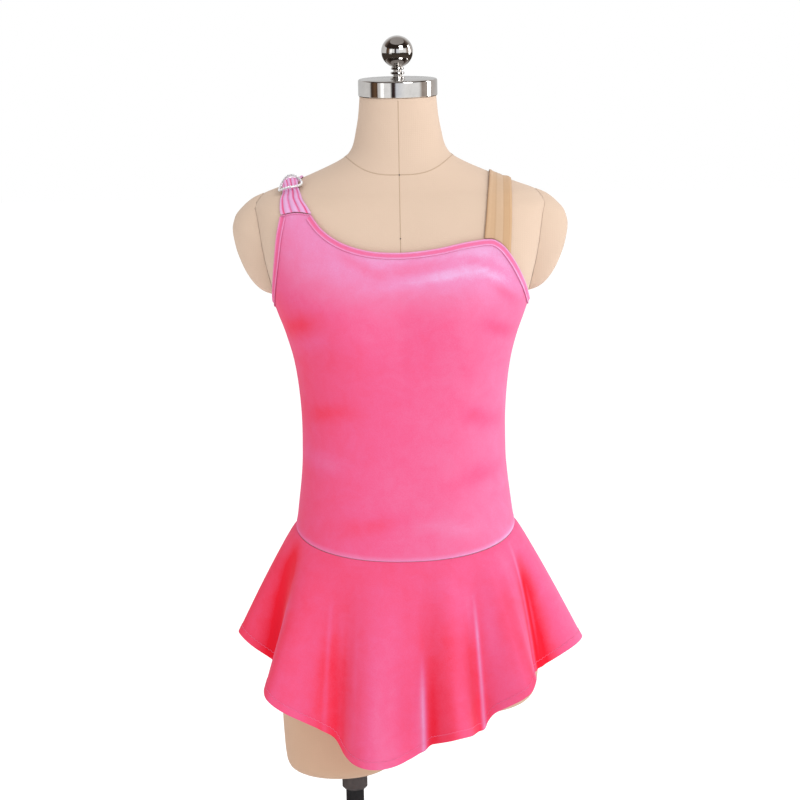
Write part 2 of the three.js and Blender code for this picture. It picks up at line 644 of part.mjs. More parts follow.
function meshStrap() {
  const halfAt = () => MESH_STRAP.topHalf;
  const grid = (offset) => Array.from({ length: MESH_STRAP.rows + 1 }, (_, i) =>
    Array.from({ length: MESH_STRAP.columns + 1 }, (_, j) => {
      const [across, span] = [j / MESH_STRAP.columns, i / MESH_STRAP.rows];
      const { x, angle } = strapPlace(frontRuns.meshSeam, backRuns.meshSeam, MESH_STRAP.topX, halfAt, MESH_STRAP.reach, across, span);
      return shoulderPoint(x, angle).addScaledVector(shoulderNormal(x, angle), offset);
    }));
  return wall(grid(MESH_STRAP.lift), grid(MESH_STRAP.lift + MESH_STRAP.thick));
}
place(worn, "strap_mesh", meshStrap(), mesh);

// The ring: an oval of wire round the gathered strap, with the bar that the strap passes over
function ringBar() {
  const bar = new THREE.CylinderGeometry(RING.barWire, RING.barWire, 2 * RING.across, 10);
  bar.rotateZ(Math.PI / 2);
  bar.translate(0, 0, RING.barHeight);
  return bar;
}

// The oval of wire, as rings of points that close on themselves. It arches over the cloth at its two ends.
function ovalLoop() {
  const [around, sides] = [26, 8];
  const points = [];
  const triangles = [];
  for (let i = 0; i < around; i++) {
    const turn = (2 * Math.PI * i) / around;
    const end = Math.sin(turn) > 0 ? RING.backHeight : RING.frontHeight;
    const height = lerp(RING.sideHeight, end, Math.sin(turn) ** 2);
    const outward = new THREE.Vector3(Math.cos(turn) / RING.across, Math.sin(turn) / RING.along, 0).normalize();
    for (let k = 0; k < sides; k++) {
      const angle = (2 * Math.PI * k) / sides;
      points.push(new THREE.Vector3(RING.across * Math.cos(turn), RING.along * Math.sin(turn), height)
        .addScaledVector(outward, RING.wire * Math.cos(angle))
        .add(new THREE.Vector3(0, 0, RING.wire * Math.sin(angle))));
      const [a, b] = [i * sides + k, i * sides + ((k + 1) % sides)];
      const [c, d] = [((i + 1) % around) * sides + k, ((i + 1) % around) * sides + ((k + 1) % sides)];
      triangles.push(a, c, d, a, d, b);
    }
  }
  return geometryOf(points, triangles);
}

const ring = place(worn, "strap_ring", geometryFrom(solidOf(ovalLoop()).add(solidOf(ringBar()))), chrome);
const ringSeat = strapPlace(frontRuns.strapSeam, backRuns.strapSeam, STRAP.topX, strapHalf, STRAP.reach, 0.5, RING_SPAN);
const ringNormal = shoulderNormal(ringSeat.x, ringSeat.angle);
const ringAlong = shoulderPoint(ringSeat.x, ringSeat.angle - 0.02).sub(shoulderPoint(ringSeat.x, ringSeat.angle + 0.02));
const ringAcross = ringAlong.clone().cross(ringNormal).normalize();
ring.position.copy(shoulderPoint(ringSeat.x, ringSeat.angle));
ring.quaternion.setFromRotationMatrix(
  new THREE.Matrix4().makeBasis(ringAcross, ringNormal.clone().cross(ringAcross), ringNormal),
);
ring.rotateZ(RING.turned);

export default part;
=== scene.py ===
# %% [markdown]
# A figure skating dress on a dress form
#
# The dress is pink stretch velvet: a close bodice with a slanting neckline, one gathered strap drawn
# through a ring of stones, one skin-coloured mesh strap, and a flared skirt cut to a point. It is worn
# by a limbless form on a pole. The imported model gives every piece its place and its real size. This
# script lays fine cloth and polished metal exactly where those plain solids are.

# %% The frame
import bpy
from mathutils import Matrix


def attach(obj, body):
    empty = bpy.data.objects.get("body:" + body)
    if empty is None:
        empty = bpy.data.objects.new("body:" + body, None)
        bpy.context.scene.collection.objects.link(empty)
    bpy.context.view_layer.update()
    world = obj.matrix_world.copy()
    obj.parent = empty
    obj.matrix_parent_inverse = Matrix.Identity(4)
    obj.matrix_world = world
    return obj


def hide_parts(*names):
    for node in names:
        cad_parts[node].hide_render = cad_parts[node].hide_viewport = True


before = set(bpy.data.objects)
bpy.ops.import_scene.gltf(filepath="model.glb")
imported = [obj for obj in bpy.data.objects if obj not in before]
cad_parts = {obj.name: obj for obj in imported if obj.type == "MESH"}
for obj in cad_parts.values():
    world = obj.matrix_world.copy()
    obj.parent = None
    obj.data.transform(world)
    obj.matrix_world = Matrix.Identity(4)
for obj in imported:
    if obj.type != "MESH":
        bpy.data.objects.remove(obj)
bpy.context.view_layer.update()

import math

import bpy
import numpy as np
from mathutils import Matrix, Vector

MM = 0.001
print("pieces in the packed model:", len(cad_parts))

# %% [markdown]
# Measures
#
# A garment is drafted from a few body measures taken at named heights. The same is done here: each row
# is one level of the figure, in millimetres from the floor. half is the half width, front and back are
# the depths from the side line, and square says how boxy the section is (2 is an ellipse). A smooth
# curve through the rows gives every level in between.

# %% Body measures
TORSO_X = 68  # the form's middle plane stands this far from the pole's axis
SIDE_SEAM = 90  # degrees round from the middle of the front
EASE, CLOTH = 1.5, 1.4  # the cloth's inside stands off the form, and its thickness
SEAM_GAP = 0.3
SEAM = {"side": 651, "frontDip": 23, "backDip": 8, "sharpness": 1.15}
BUST = {"x": 70, "height": 902, "depth": 9, "spreadX": 52, "spreadZ": 50}
FIGURE = """
height half  front back square
423    118   62    70   2.3
425    134   78    86   2.3
430    146   88    96   2.3
439    153.5 94    102  2.3
456    158   98    106  2.25
480    160   102   111  2.25
510    160.5 106   116  2.2
545    159   109   117  2.2
580    151   110   113  2.2
615    141.2 109   106  2.2
650    128.7 105   97   2.2
680    124.7 100   89   2.2
710    121   96    82   2.2
740    119   93    77   2.2
770    118.8 92.5  75   2.2
800    120   94.5  75   2.2
830    122.8 98.5  78   2.25
860    127.8 103.5 84   2.3
890    136.6 107.5 90   2.35
920    147.6 108.5 95   2.4
950    155.5 105   98   2.5
980    163.5 99    98   2.6
1010   171   91.5  94.5 2.6
1036   174   84    87   2.45
1050   163   78.5  80   2.1
1060   139   73    74   1.9
1067   120   70    69   1.9
1074   103   67.5  64   1.9
1081   87    65.5  59.5 1.9
1088   72.5  63    56   1.95
1096   60.5  60    53   2
1107   54    56.5  49.5 2
1122   50.5  53    46.5 2
1142   47    50    44.5 2
1164   45    48    42.5 2
"""


def read_table(text):
    """Turns a table with named columns into one array for each column."""
    names, *rows = [line.split() for line in text.strip().splitlines()]
    return dict(zip(names, np.array(rows, dtype=float).T))


def curve(x, y):
    """A smooth curve through points that never overshoots them."""
    slopes = np.diff(y) / np.diff(x)
    tangents = np.concatenate([slopes[:1], np.zeros(len(x) - 2), slopes[-1:]])
    before, after = slopes[:-1], slopes[1:]
    same = before * after > 0
    tangents[1:-1][same] = 2 * before[same] * after[same] / (before[same] + after[same])

    def at(value):
        i = np.clip(np.searchsorted(x, value) - 1, 0, len(x) - 2)
        span = x[i + 1] - x[i]
        t = np.clip((value - x[i]) / span, 0, 1)
        return (
            (2 * t**3 - 3 * t**2 + 1) * y[i] + (t**3 - 2 * t**2 + t) * span * tangents[i]
            + (3 * t**2 - 2 * t**3) * y[i + 1] + (t**3 - t**2) * span * tangents[i + 1]
        )

    return at


table = read_table(FIGURE)
levels = np.arange(table["height"][0], table["height"][-1] + 0.5)


def eased(values, spread):
    """Rounds off the small kinks that a table leaves in a long smooth curve."""
    reach = int(3 * spread)
    weights = np.exp(-0.5 * (np.arange(-reach, reach + 1) / spread) ** 2)
    before, after = 2 * values[0] - values[reach:0:-1], 2 * values[-1] - values[-2:-reach - 2:-1]
    padded = np.concatenate([before, values, after])
    return np.convolve(padded, weights / weights.sum(), mode="valid")


def measure(column):
    """One measure at every millimetre of height: smooth on the trunk, true to the table at both ends."""
    exact = curve(table["height"], table[column])(levels)
    trunk = np.clip((levels - 450) / 30, 0, 1) * np.clip((1030 - levels) / 30, 0, 1)
    return exact + trunk * (eased(exact, 9) - exact)


figure = {column: measure(column) for column in ("half", "front", "back", "square")}


def body(column, height):
    return np.interp(height, levels, figure[column])


def body_point(round_, height):
    """A point on the figure; round_ is degrees from the middle of the front, + to the form's left."""
    round_, height = np.broadcast_arrays(np.asarray(round_, float), np.asarray(height, float))
    s, c = np.sin(np.radians(round_)), np.cos(np.radians(round_))
    power = 2 / body("square", height)
    x = body("half", height) * np.sign(s) * np.abs(s) ** power
    depth = np.where(c > 0, body("front", height), body("back", height)) * np.abs(c) ** power
    across = (np.abs(x) - BUST["x"]) / BUST["spreadX"]
    up = (height - BUST["height"]) / BUST["spreadZ"]
    fullness = BUST["depth"] * np.clip(2 * c, 0, 1) * np.exp(-(across**2) - up**2)
    return np.stack([x, np.where(c > 0, -depth - fullness, depth), height], axis=-1)


def unit(vectors):
    return vectors / np.linalg.norm(vectors, axis=-1, keepdims=True)


def body_frame(round_, height):
    across = (body_point(round_ + 0.25, height) - body_point(round_ - 0.25, height)) / 0.5
    up = body_point(round_, height + 0.5) - body_point(round_, height - 0.5)
    return across, up, unit(np.cross(across, up))


def off_body(round_, height, distance):
    """A point that stands off the figure, as cloth does."""
    normal = body_frame(round_, height)[2]
    return body_point(round_, height) + normal * np.asarray(distance)[..., None]


def distance_along(points):
    """How far each point of a line lies from its start, measured along the line."""
    return np.concatenate([[0], np.cumsum(np.linalg.norm(np.diff(points, axis=0), axis=1))])


def seam_height(round_):
    """The dropped waist seam dips at the front."""
    c = np.cos(np.radians(round_))
    return SEAM["side"] - np.where(
        c > 0, SEAM["frontDip"] * np.abs(c) ** SEAM["sharpness"], SEAM["backDip"] * c**2
    )


print("waist half width:", round(float(body("half", 770)), 1), "mm")

# %% [markdown]
# Laying cloth
#
# Cloth starts flat on the cutting table. Here a flat grid is that cloth: it is added as a primitive,
# and then each of its points is moved to its place on the figure. The grid brings its own UV map along,
# so a weave, a stripe or a seam can follow the cloth wherever it goes.

# %% Helpers for pieces
def select_only(piece):
    bpy.ops.object.select_all(action="DESELECT")
    piece.select_set(True)
    bpy.context.view_layer.objects.active = piece


def in_edit_mode(piece, work):
    """Does one piece of work on a whole mesh in edit mode."""
    select_only(piece)
    bpy.ops.object.mode_set(mode="EDIT")
    bpy.ops.mesh.select_all(action="SELECT")
    work()
    bpy.ops.object.mode_set(mode="OBJECT")


def lay_cloth(name, points, painted_light_and_pile=None):
    """Lays a flat grid and moves its vertices to points: rows by columns, in millimetres.

    The last argument is painted light and shade at each point, with random pile tone on the skirt;
    it goes with the cloth as an attribute.
    """
    rows, columns = points.shape[:2]
    bpy.ops.object.select_all(action="DESELECT")
    bpy.ops.mesh.primitive_grid_add(x_subdivisions=columns - 1, y_subdivisions=rows - 1, size=2)
    piece = bpy.context.active_object
    piece.name = piece.data.name = name
    flat = np.empty(rows * columns * 3)
    piece.data.vertices.foreach_get("co", flat)
    share = (flat.reshape(-1, 3)[:, :2] + 1) / 2
    column = np.rint(share[:, 0] * (columns - 1)).astype(int)
    row = np.rint(share[:, 1] * (rows - 1)).astype(int)
    placed = points[row, column] + np.array([TORSO_X, 0, 0])
    piece.data.vertices.foreach_set("co", (placed * MM).ravel())
    if painted_light_and_pile is not None:
        shade = piece.data.attributes.new("painted_light_and_pile", "FLOAT", "POINT")
        shade.data.foreach_set("value", np.broadcast_to(painted_light_and_pile, (rows, columns))[row, column])
    piece.data.update()
    return piece


def facing(points):
    """Which way each point of a laid grid faces."""
    return unit(np.cross(np.gradient(points, axis=1), np.gradient(points, axis=0)))


def use_modifier(piece, kind, **settings):
    """Adds one modifier, sets it and applies it."""
    select_only(piece)
    bpy.ops.object.modifier_add(type=kind)
    modifier = piece.modifiers[-1]
    for key, value in settings.items():
        setattr(modifier, key, value)
    bpy.ops.object.modifier_apply(modifier=modifier.name)


def give_wall(piece, thickness):
    """Turns one layer of cloth into a wall, on its inner side."""
    use_modifier(piece, "SOLIDIFY", thickness=thickness * MM, offset=-1)


def smooth(piece, degrees=50):
    select_only(piece)
    bpy.ops.object.shade_smooth_by_angle(angle=math.radians(degrees))


def close_round(name, rings, painted_light_and_pile=None):
    """Joins rings of points, the lowest first and each anticlockwise, into one closed form."""
    closed = np.concatenate([rings, rings[:, :1]], axis=1)
    piece = lay_cloth(name, closed, painted_light_and_pile)

    def close():
        bpy.ops.mesh.remove_doubles(threshold=0.01 * MM)
        bpy.ops.mesh.select_all(action="DESELECT")
        bpy.ops.mesh.select_non_manifold(extend=False)
        bpy.ops.mesh.fill_holes(sides=0)

    in_edit_mode(piece, close)
    return piece


def join_up(name, parts):
    """Joins separate objects into one piece."""
    bpy.ops.object.select_all(action="DESELECT")
    for part in parts:
        part.select_set(True)
    bpy.context.view_layer.objects.active = parts[0]
    bpy.ops.object.join()
    parts[0].name = parts[0].data.name = name
    return parts[0]


def around(columns):
    """Angles once round, in degrees, without the last one."""
    return np.linspace(0, 360, columns, endpoint=False)


# %% [markdown]
# The form
#
# A dress form is a hard body under a stretched knitted cover. It has no arms or legs: a rounded cap ends
# each shoulder, and one short thigh stump takes the pole. The trunk and the thigh are two closed forms
# joined by a Boolean, so that the cover runs over both in one skin.

# %% The torso and the thigh
THIGH = {"x": -84.5, "y": 4}
THIGH_RINGS = read_table("""
height half depth
340    48   44
342.5  57   55
348    63.5 63
358    66.5 69
380    68.5 73
420    70   78
460    70   82
500    62   76
""")


def ring_heights(column, fine):
    """Places rings evenly along a profile that turns in sharply at its ends."""
    height, reach = column
    along = distance_along(np.stack([height, reach], axis=-1))
    return np.interp(np.linspace(0, along[-1], fine), along, height)


def torso_rings(offset, rings=210, columns=128):
    heights = ring_heights((levels, figure["half"]), rings)
    round_, height = np.meshgrid(around(columns), heights)
    ends = (height > levels[0] + 0.5) & (height < levels[-1] - 0.5)
    return np.where(ends[..., None], off_body(round_, height, offset), body_point(round_, height))


def thigh_rings(columns=96):
    heights = ring_heights((THIGH_RINGS["height"], THIGH_RINGS["half"]), 44)
    half = curve(THIGH_RINGS["height"], THIGH_RINGS["half"])(heights)[:, None]
    depth = curve(THIGH_RINGS["height"], THIGH_RINGS["depth"])(heights)[:, None]
    turn = np.radians(around(columns))
    x = THIGH["x"] + half * np.sin(turn)
    y = THIGH["y"] - depth * np.cos(turn)
    return np.stack([x, y, np.broadcast_to(heights[:, None], x.shape)], axis=-1)


torso = close_round("form_cover", torso_rings(0))
thigh = close_round("form_thigh", thigh_rings())
use_modifier(torso, "BOOLEAN", operation="UNION", object=thigh, solver="EXACT")
bpy.data.objects.remove(thigh)
smooth(torso, 60)
print("form:", len(torso.data.polygons), "faces")

# %% The shoulder caps
CAP_INNER_X = 128
CAP_RINGS = read_table("""
height reach depth
931    152   8
934    161   12
940    170   18
953    180.5 24
970    189   31
990    195.5 39
1010   198.5 43
1025   195   42
1038   184.5 37
1047   173   23
1052   162   12
""")
CAP_SEAM = 0.45  # the dark line between a cap and the trunk, in millimetres


def cap_rings(side, columns=80):
    heights = ring_heights((CAP_RINGS["height"], CAP_RINGS["reach"]), 60)
    reach = curve(CAP_RINGS["height"], CAP_RINGS["reach"])(heights)[:, None]
    depth = curve(CAP_RINGS["height"], CAP_RINGS["depth"])(heights)[:, None]
    turn = np.radians(around(columns))
    x = side * CAP_INNER_X + (reach - CAP_INNER_X) * np.sin(turn)
    return np.stack([x, -depth * np.cos(turn), np.broadcast_to(heights[:, None], x.shape)], axis=-1)


trunk = close_round("trunk_for_cutting", torso_rings(CAP_SEAM, 120, 96))
shoulder_caps = []
for cap_name, side in (("cap_cover_right", -1), ("cap_cover_left", 1)):
    cap = close_round(cap_name, cap_rings(side))
    use_modifier(cap, "BOOLEAN", operation="DIFFERENCE", object=trunk, solver="EXACT")
    smooth(cap, 40)
    shoulder_caps.append(cap)
bpy.data.objects.remove(trunk)

# %% [markdown]
# Seams of the form's cover
#
# The knitted cover is cut in halves, with a seam down the middle and another round the base of the
# neck. A seam in stretched cloth shows as a fine raised line. Each is a narrow strip, laid on the form
# along the seam and a little proud of it, so that it catches the light as thread does. Two pins mark the
# middle of the front, as they do on a form that patterns are checked on.

# %% Strips along a line on the figure
def strip_along(name, rounds, heights, width, rise, lift=0.0, columns=5):
    """A strip on the figure's skin along a line of rounds and heights, rounded across."""
    base = body_point(rounds, heights)
    normal = body_frame(rounds, heights)[2]
    forward = unit(np.gradient(base, axis=0))
    sideways = unit(np.cross(normal, forward))
    across = np.linspace(-1, 1, columns)[:, None, None]
    bulge = rise * (1 - across**2)
    return lay_cloth(name, base + sideways * across * width / 2 + normal * (lift + bulge))


NECK_SEAM = {"front": 1065, "side": 1092, "frontSlope": 0.195, "backSlope": 0.35, "halfWidth": 62,
             "lowest": 1060, "highest": 1125}

turn = np.linspace(-180, 180, 181)
neck_heights = np.full_like(turn, NECK_SEAM["side"])
for _ in range(40):
    x, y, _ = body_point(turn, neck_heights).T
    climb = (NECK_SEAM["side"] - NECK_SEAM["front"]) * (np.abs(x) / NECK_SEAM["halfWidth"]) ** 3
    at_front = NECK_SEAM["front"] - NECK_SEAM["frontSlope"] * y + climb
    aim = np.where(y < 0, at_front, NECK_SEAM["side"] + NECK_SEAM["backSlope"] * y)
    neck_heights += 0.25 * (np.clip(aim, NECK_SEAM["lowest"], NECK_SEAM["highest"]) - neck_heights)
neck_seam = strip_along("form_seam_neck", turn, neck_heights, 1.3, 0.35)
front_heights = np.linspace(1162, 700, 180)
centre_seam = strip_along("form_seam_front", np.zeros_like(front_heights), front_heights, 1.2, 0.3)
back_seam = strip_along("form_seam_back", np.full_like(front_heights, 180), front_heights, 1.2, 0.3)

PIN_HEIGHTS, PIN_HEAD = (1077.8, 1007), 0.9
pin_heads = []
for height in PIN_HEIGHTS:
    bpy.ops.mesh.primitive_uv_sphere_add(segments=16, ring_count=8, radius=PIN_HEAD * MM)
    head = bpy.context.active_object
    skin = Vector((TORSO_X, float(body_point(0, height)[1]), height))
    head.data.transform(Matrix.Translation(skin * MM))
    pin_heads.append(head)
pins = join_up("form_pins", pin_heads)
print("neck seam from", round(neck_heights.min()), "to", round(neck_heights.max()), "mm high")

# %% [markdown]
# Turned metal and the stand
#
# The neck cap, the ball, the collar, the pole and the base are all turned or spun parts. Half of the
# outline is drawn once, and Spin turns it about the axis. The plain solids have flat sides that a mirror
# finish would show, so these have many more steps, and a bevelled corner wherever the metal has one.

# %% Lathe
def turned(name, outline, centre, steps=96):
    """Spins an outline of (radius, height), in millimetres, about a vertical axis."""
    bpy.ops.object.select_all(action="DESELECT")
    bpy.ops.mesh.primitive_circle_add(vertices=3, radius=1)
    piece = bpy.context.active_object
    piece.name = piece.data.name = name
    x, y = centre[0] * MM, centre[1] * MM
    points = [(x + radius * MM, y, height * MM) for radius, height in outline]
    piece.data.clear_geometry()
    piece.data.from_pydata(points, [(i, i + 1) for i in range(len(points) - 1)], [])

    def spin():
        bpy.ops.mesh.spin(steps=steps, angle=2 * math.pi, center=(x, y, 0), axis=(0, 0, 1))
        bpy.ops.mesh.select_all(action="SELECT")
        bpy.ops.mesh.remove_doubles(threshold=0.005 * MM)
        bpy.ops.mesh.normals_make_consistent(inside=False)

    in_edit_mode(piece, spin)
    smooth(piece, 32)
    return piece


def rounded(radius, height, corner, steps=5):
    """The quarter circle round an outer corner, from the side to the top."""
    turns = np.linspace(0, math.pi / 2, steps)
    return [(radius - corner + corner * math.cos(t), height - corner + corner * math.sin(t)) for t in turns]


NECK_CAP = {"radius": 46.5, "base": 1164.4, "top": 1184, "y": -2.5}
FINIAL = {"ball": 18.6, "stem": 14.5, "neck": 5}
POLE = {"radius": 11, "top": 339.6, "collarRadius": 15.5, "collarHeight": 26}
BASE = {"radius": 175, "thick": 10, "hub": 26, "hubHeight": 22}

neck_axis = (TORSO_X, NECK_CAP["y"])
neck_cap = turned("neck_cap_chrome", [
    (0, NECK_CAP["base"]), (NECK_CAP["radius"] - 0.8, NECK_CAP["base"]),
    (NECK_CAP["radius"], NECK_CAP["base"] + 0.8),
    *rounded(NECK_CAP["radius"], NECK_CAP["top"], 2.2), (0, NECK_CAP["top"]),
], neck_axis)

foot = NECK_CAP["top"] + SEAM_GAP
ball_centre = foot + FINIAL["stem"] - 1 + math.sqrt(FINIAL["ball"] ** 2 - FINIAL["neck"] ** 2)
ball_turns = np.linspace(math.asin(FINIAL["neck"] / FINIAL["ball"]), math.pi, 34)
ball_curve = [(FINIAL["ball"] * math.sin(t), ball_centre - FINIAL["ball"] * math.cos(t)) for t in ball_turns]
STEM = [(0, 0), (8.5, 0), (8.9, 0.5), (8.5, 2), (5.6, 2.8), (5, 3.6), (5.6, 4.4), (7.8, 5.2), (8.3, 6.4),
        (7.8, 7.6), (5.2, 8.2), (4.6, 9), (5.2, 9.8), (7.2, 10.6), (7.7, 11.7), (7.2, 12.9), (5.4, 13.6)]
finial = turned("neck_finial_chrome", [(r, foot + h) for r, h in STEM] + ball_curve, neck_axis, 64)

collar_foot = POLE["top"] - POLE["collarHeight"]
collar = turned("pole_collar", [
    (0, collar_foot), (POLE["collarRadius"] - 3, collar_foot), (POLE["collarRadius"], collar_foot + 3),
    (POLE["collarRadius"], POLE["top"]), (0, POLE["top"]),
], (0, 0), 64)
pole_foot = BASE["thick"] + BASE["hubHeight"] + SEAM_GAP
pole_top = collar_foot - SEAM_GAP
pole = turned("pole_tube", [
    (0, pole_foot), (POLE["radius"], pole_foot), (POLE["radius"], pole_top), (0, pole_top),
], (0, 0), 64)
base = turned("round_base", [
    (0, 0), (BASE["radius"] - 3, 0), (BASE["radius"] - 0.9, 0.9), (BASE["radius"], 3),
    *rounded(BASE["radius"], BASE["thick"], 4, 6), (BASE["hub"] + 3, BASE["thick"] + 0.6),
    (BASE["hub"], BASE["thick"] + 1.4), *rounded(BASE["hub"] - 2, BASE["thick"] + BASE["hubHeight"], 2.5),
    (0, BASE["thick"] + BASE["hubHeight"]),
], (0, 0), 128)

# %% [markdown]
# The bodice
#
# The bodice is cut in one front and one back, joined at the side seams. Its top edge is drawn first, as
# runs that meet at corners: armhole, strap seam, neckline. Every column of the cloth then runs from the
# waist seam up to its own place on that edge. Stretch velvet lies close, so only soft creases are
# pressed into it: across the chest under the neckline, and slanting in from the sides of the waist.
#
# Velvet's light and shade are painted into its colour. Each velvet piece gets a number at every point,
# which the finish reads later: high for painted highlight and sheen, low for painted shade. The bodice is
# painted paler where it faces up or to the lit side, with a painted sheen on the chest and a painted
# highlight on the rolled seam. Its creases get painted shade in the troughs and highlight on the ridges.

# %% The bodice's top edges
FRONT_EDGES = {
    "armhole": (9, [(-149.2, 921), (-148, 945), (-145, 980), (-142, 1010), (-137.5, 1032)]),
    "strapSeam": (5, [(-137.5, 1032), (-120, 1035.5), (-102.5, 1034)]),
    "neckline": (15, [(-102.5, 1034), (-90, 1018), (-70, 1004), (-40, 994), (0, 991),
                      (40, 994.5), (75, 1001), (96, 1003.5)]),
    "meshSeam": (5, [(96, 1003.5), (107, 1002.5), (118, 995), (126, 984.5)]),
    "farArmhole": (6, [(126, 984.5), (133.5, 971), (142, 950), (149.2, 921)]),
}
BACK_EDGES = {
    "armhole": (6, [(-149.2, 921), (-147, 945), (-138, 972), (-128, 990)]),
    "strapSeam": (4, [(-128, 990), (-113, 992), (-98, 989)]),
    "neckline": (12, [(-98, 989), (-80, 960), (-45, 934), (0, 926), (45, 934), (92, 962)]),
    "meshSeam": (3, [(92, 962), (105, 967), (118, 964)]),
    "farArmhole": (5, [(118, 964), (134, 950), (144, 936), (149.2, 921)]),
}
FINE = 4  # fine steps for each step of the plain solid


def round_at(x, height):
    """The angle round the figure at which the front has this x."""
    share = np.clip(np.abs(x) / body("half", height), 0, 1)
    return np.sign(x) * np.degrees(np.arcsin(share ** (body("square", height) / 2)))


def through(points, count=400):
    """A smooth curve through points, whose bends stay even where the points are unevenly spaced."""
    p = np.array(points, float)
    p = np.concatenate([[2 * p[0] - p[1]], p, [2 * p[-1] - p[-2]]])
    out = []
    for k in np.linspace(0, len(points) - 1, count):
        i = min(int(k), len(points) - 2)
        t = k - i
        a, b, c, d = p[i:i + 4]
        d0, d1, d2 = (math.sqrt(np.linalg.norm(v)) for v in (b - a, c - b, d - c))
        start = ((b - a) / d0 - (c - a) / (d0 + d1) + (c - b) / d1) * d1
        end = ((c - b) / d1 - (d - b) / (d1 + d2) + (d - c) / d2) * d1
        step = c - b
        out.append(b + start * t + (3 * step - 2 * start - end) * t**2 + (start + end - 2 * step) * t**3)
    return np.array(out)


def edge_run(steps, points, is_front):
    """Even places along an edge, as rounds and heights."""
    x, height = through(points).T
    round_ = round_at(x, height)
    if not is_front:
        round_ = np.where(round_ < 0, -1, 1) * (180 - np.abs(round_))
    along = distance_along(body_point(round_, height))
    even = np.linspace(0, along[-1], steps * FINE + 1)
    return np.stack([np.interp(even, along, round_), np.interp(even, along, height)], axis=-1)


def joined(runs):
    return np.concatenate([runs[0], *[run[1:] for run in runs[1:]]])


def unwrapped(run):
    """Lets the back's angles run on past 180, from one side seam to the other."""
    return np.stack([np.where(run[:, 0] < 0, run[:, 0] + 360, run[:, 0]), run[:, 1]], axis=-1)[::-1]


front_runs = {name: edge_run(*row, True) for name, row in FRONT_EDGES.items()}
back_runs = {name: edge_run(*row, False) for name, row in BACK_EDGES.items()}

# %% The bodice panels
BODICE_ROWS = 64
ROLL = {"height": 5, "rise": 0.9}  # the seam allowance rolls up just above the waist seam
# Weights of the light and shade painted into the bodice's colour
BODICE_PAINTED_LIGHT = {"plain": 0.53, "litSide": 0.18, "upward": 0.12, "upwardOnChest": 0.25, "chest": 0.27,
       "crease": 0.3, "roll": 0.3}
CREASES = read_table("""
x    height length width slope depth
20   972    62     7     0.1   -0.5
38   961    48     6     0.16  0.4
-52  978    34     6     -0.5  -0.4
92   975    26     5     -0.35 -0.5
104  962    30     6     -0.7  0.4
118  940    20     6     -0.9  -0.5
-118 905    22     9     0.5   -0.6
-106 884    26     9     0.35  0.4
112  898    22     9     -0.5  -0.6
-84  800    30     12    0.3   -0.5
88   790    28     12    -0.35 -0.5
-92  740    26     12    -0.25 0.5
84   722    34     12    0.3   -0.5
-40  668    46     10    0.12  -0.4
46   664    40     9     -0.1  0.4
""")


def crease_depth(points):
    """Soft troughs and ridges, each a long slanting wave at its own place and size."""
    total = np.zeros(points.shape[:-1])
    for x, height, length, width, slope, depth in zip(*CREASES.values()):
        dx, dz = points[..., 0] - x, points[..., 2] - height
        along = (dx + slope * dz) / math.hypot(1, slope)
        across = (dz - slope * dx) / math.hypot(1, slope)
        total += depth * np.exp(-((along / length) ** 2) - (across / width) ** 2)
    return total


def bodice_panel(name, edge, from_round, to_round):
    columns = len(edge)
    share = np.linspace(0, 1, BODICE_ROWS + 1)[:, None]
    foot = np.linspace(from_round, to_round, columns)
    inset = np.zeros(columns)
    inset[0] = math.degrees(SEAM_GAP / 2 / float(body("half", SEAM["side"])))
    inset[-1] = -inset[0]
    rounds = foot + (edge[:, 0] - foot) * share**1.4 + inset
    heights = seam_height(foot) + (edge[:, 1] - seam_height(foot)) * share
    above_seam = heights - seam_height(foot)
    roll = ROLL["rise"] * np.sin(np.clip(above_seam / ROLL["height"], 0, 1) * math.pi) ** 2
    crease = crease_depth(body_point(rounds, heights))
    points = off_body(rounds, heights, EASE + CLOTH + roll + crease)
    # Painted light: paler to the lit side and upward, painted sheen on the chest, painted shade in crease
    # troughs and highlight on ridges, painted highlight on the seam roll
    face = facing(points)
    chest = np.clip((heights - 905) / 75, 0, 1)
    chest = chest**2 * (3 - 2 * chest)
    painted_light_and_pile = BODICE_PAINTED_LIGHT["plain"] + BODICE_PAINTED_LIGHT["litSide"] * face[..., 0] + BODICE_PAINTED_LIGHT["chest"] * chest + BODICE_PAINTED_LIGHT["crease"] * crease
    painted_light_and_pile += (BODICE_PAINTED_LIGHT["upward"] + BODICE_PAINTED_LIGHT["upwardOnChest"] * chest) * face[..., 2]
    painted_light_and_pile += BODICE_PAINTED_LIGHT["roll"] * np.clip(1.2 - above_seam / ROLL["height"], 0, 1)
    panel = lay_cloth(name, points, painted_light_and_pile)
    give_wall(panel, CLOTH - 0.1)
    smooth(panel)
    return panel


front_edge, back_edge = joined(list(front_runs.values())), unwrapped(joined(list(back_runs.values())))
bodice_front = bodice_panel("velvet_bodice_front", front_edge, -SIDE_SEAM, SIDE_SEAM)
bodice_back = bodice_panel("velvet_bodice_back", back_edge, SIDE_SEAM, 360 - SIDE_SEAM)
print("bodice:", len(bodice_front.data.polygons), "and", len(bodice_back.data.polygons), "faces")

# %% [markdown]
# Edge bands
#
# The armholes and the neckline are finished by turning a narrow band of velvet over the edge and
# stitching it down. Seen close, the folded edge is a fat roll, the middle lies low, and the stitched
# inner edge makes a fine ridge. A strip with that cross-section is laid along each edge.

# %% Bands
BAND = {"width": 7.5, "lift": 0.6, "thick": 0.9}
BAND_ACROSS = read_table("""
share rise
0     0.1
0.05  0.75
0.12  0.95
0.2   0.7
0.3   0.3
0.5   0.12
0.7   0.25
0.8   0.75
0.88  1
0.95  0.85
1     0.15
""")


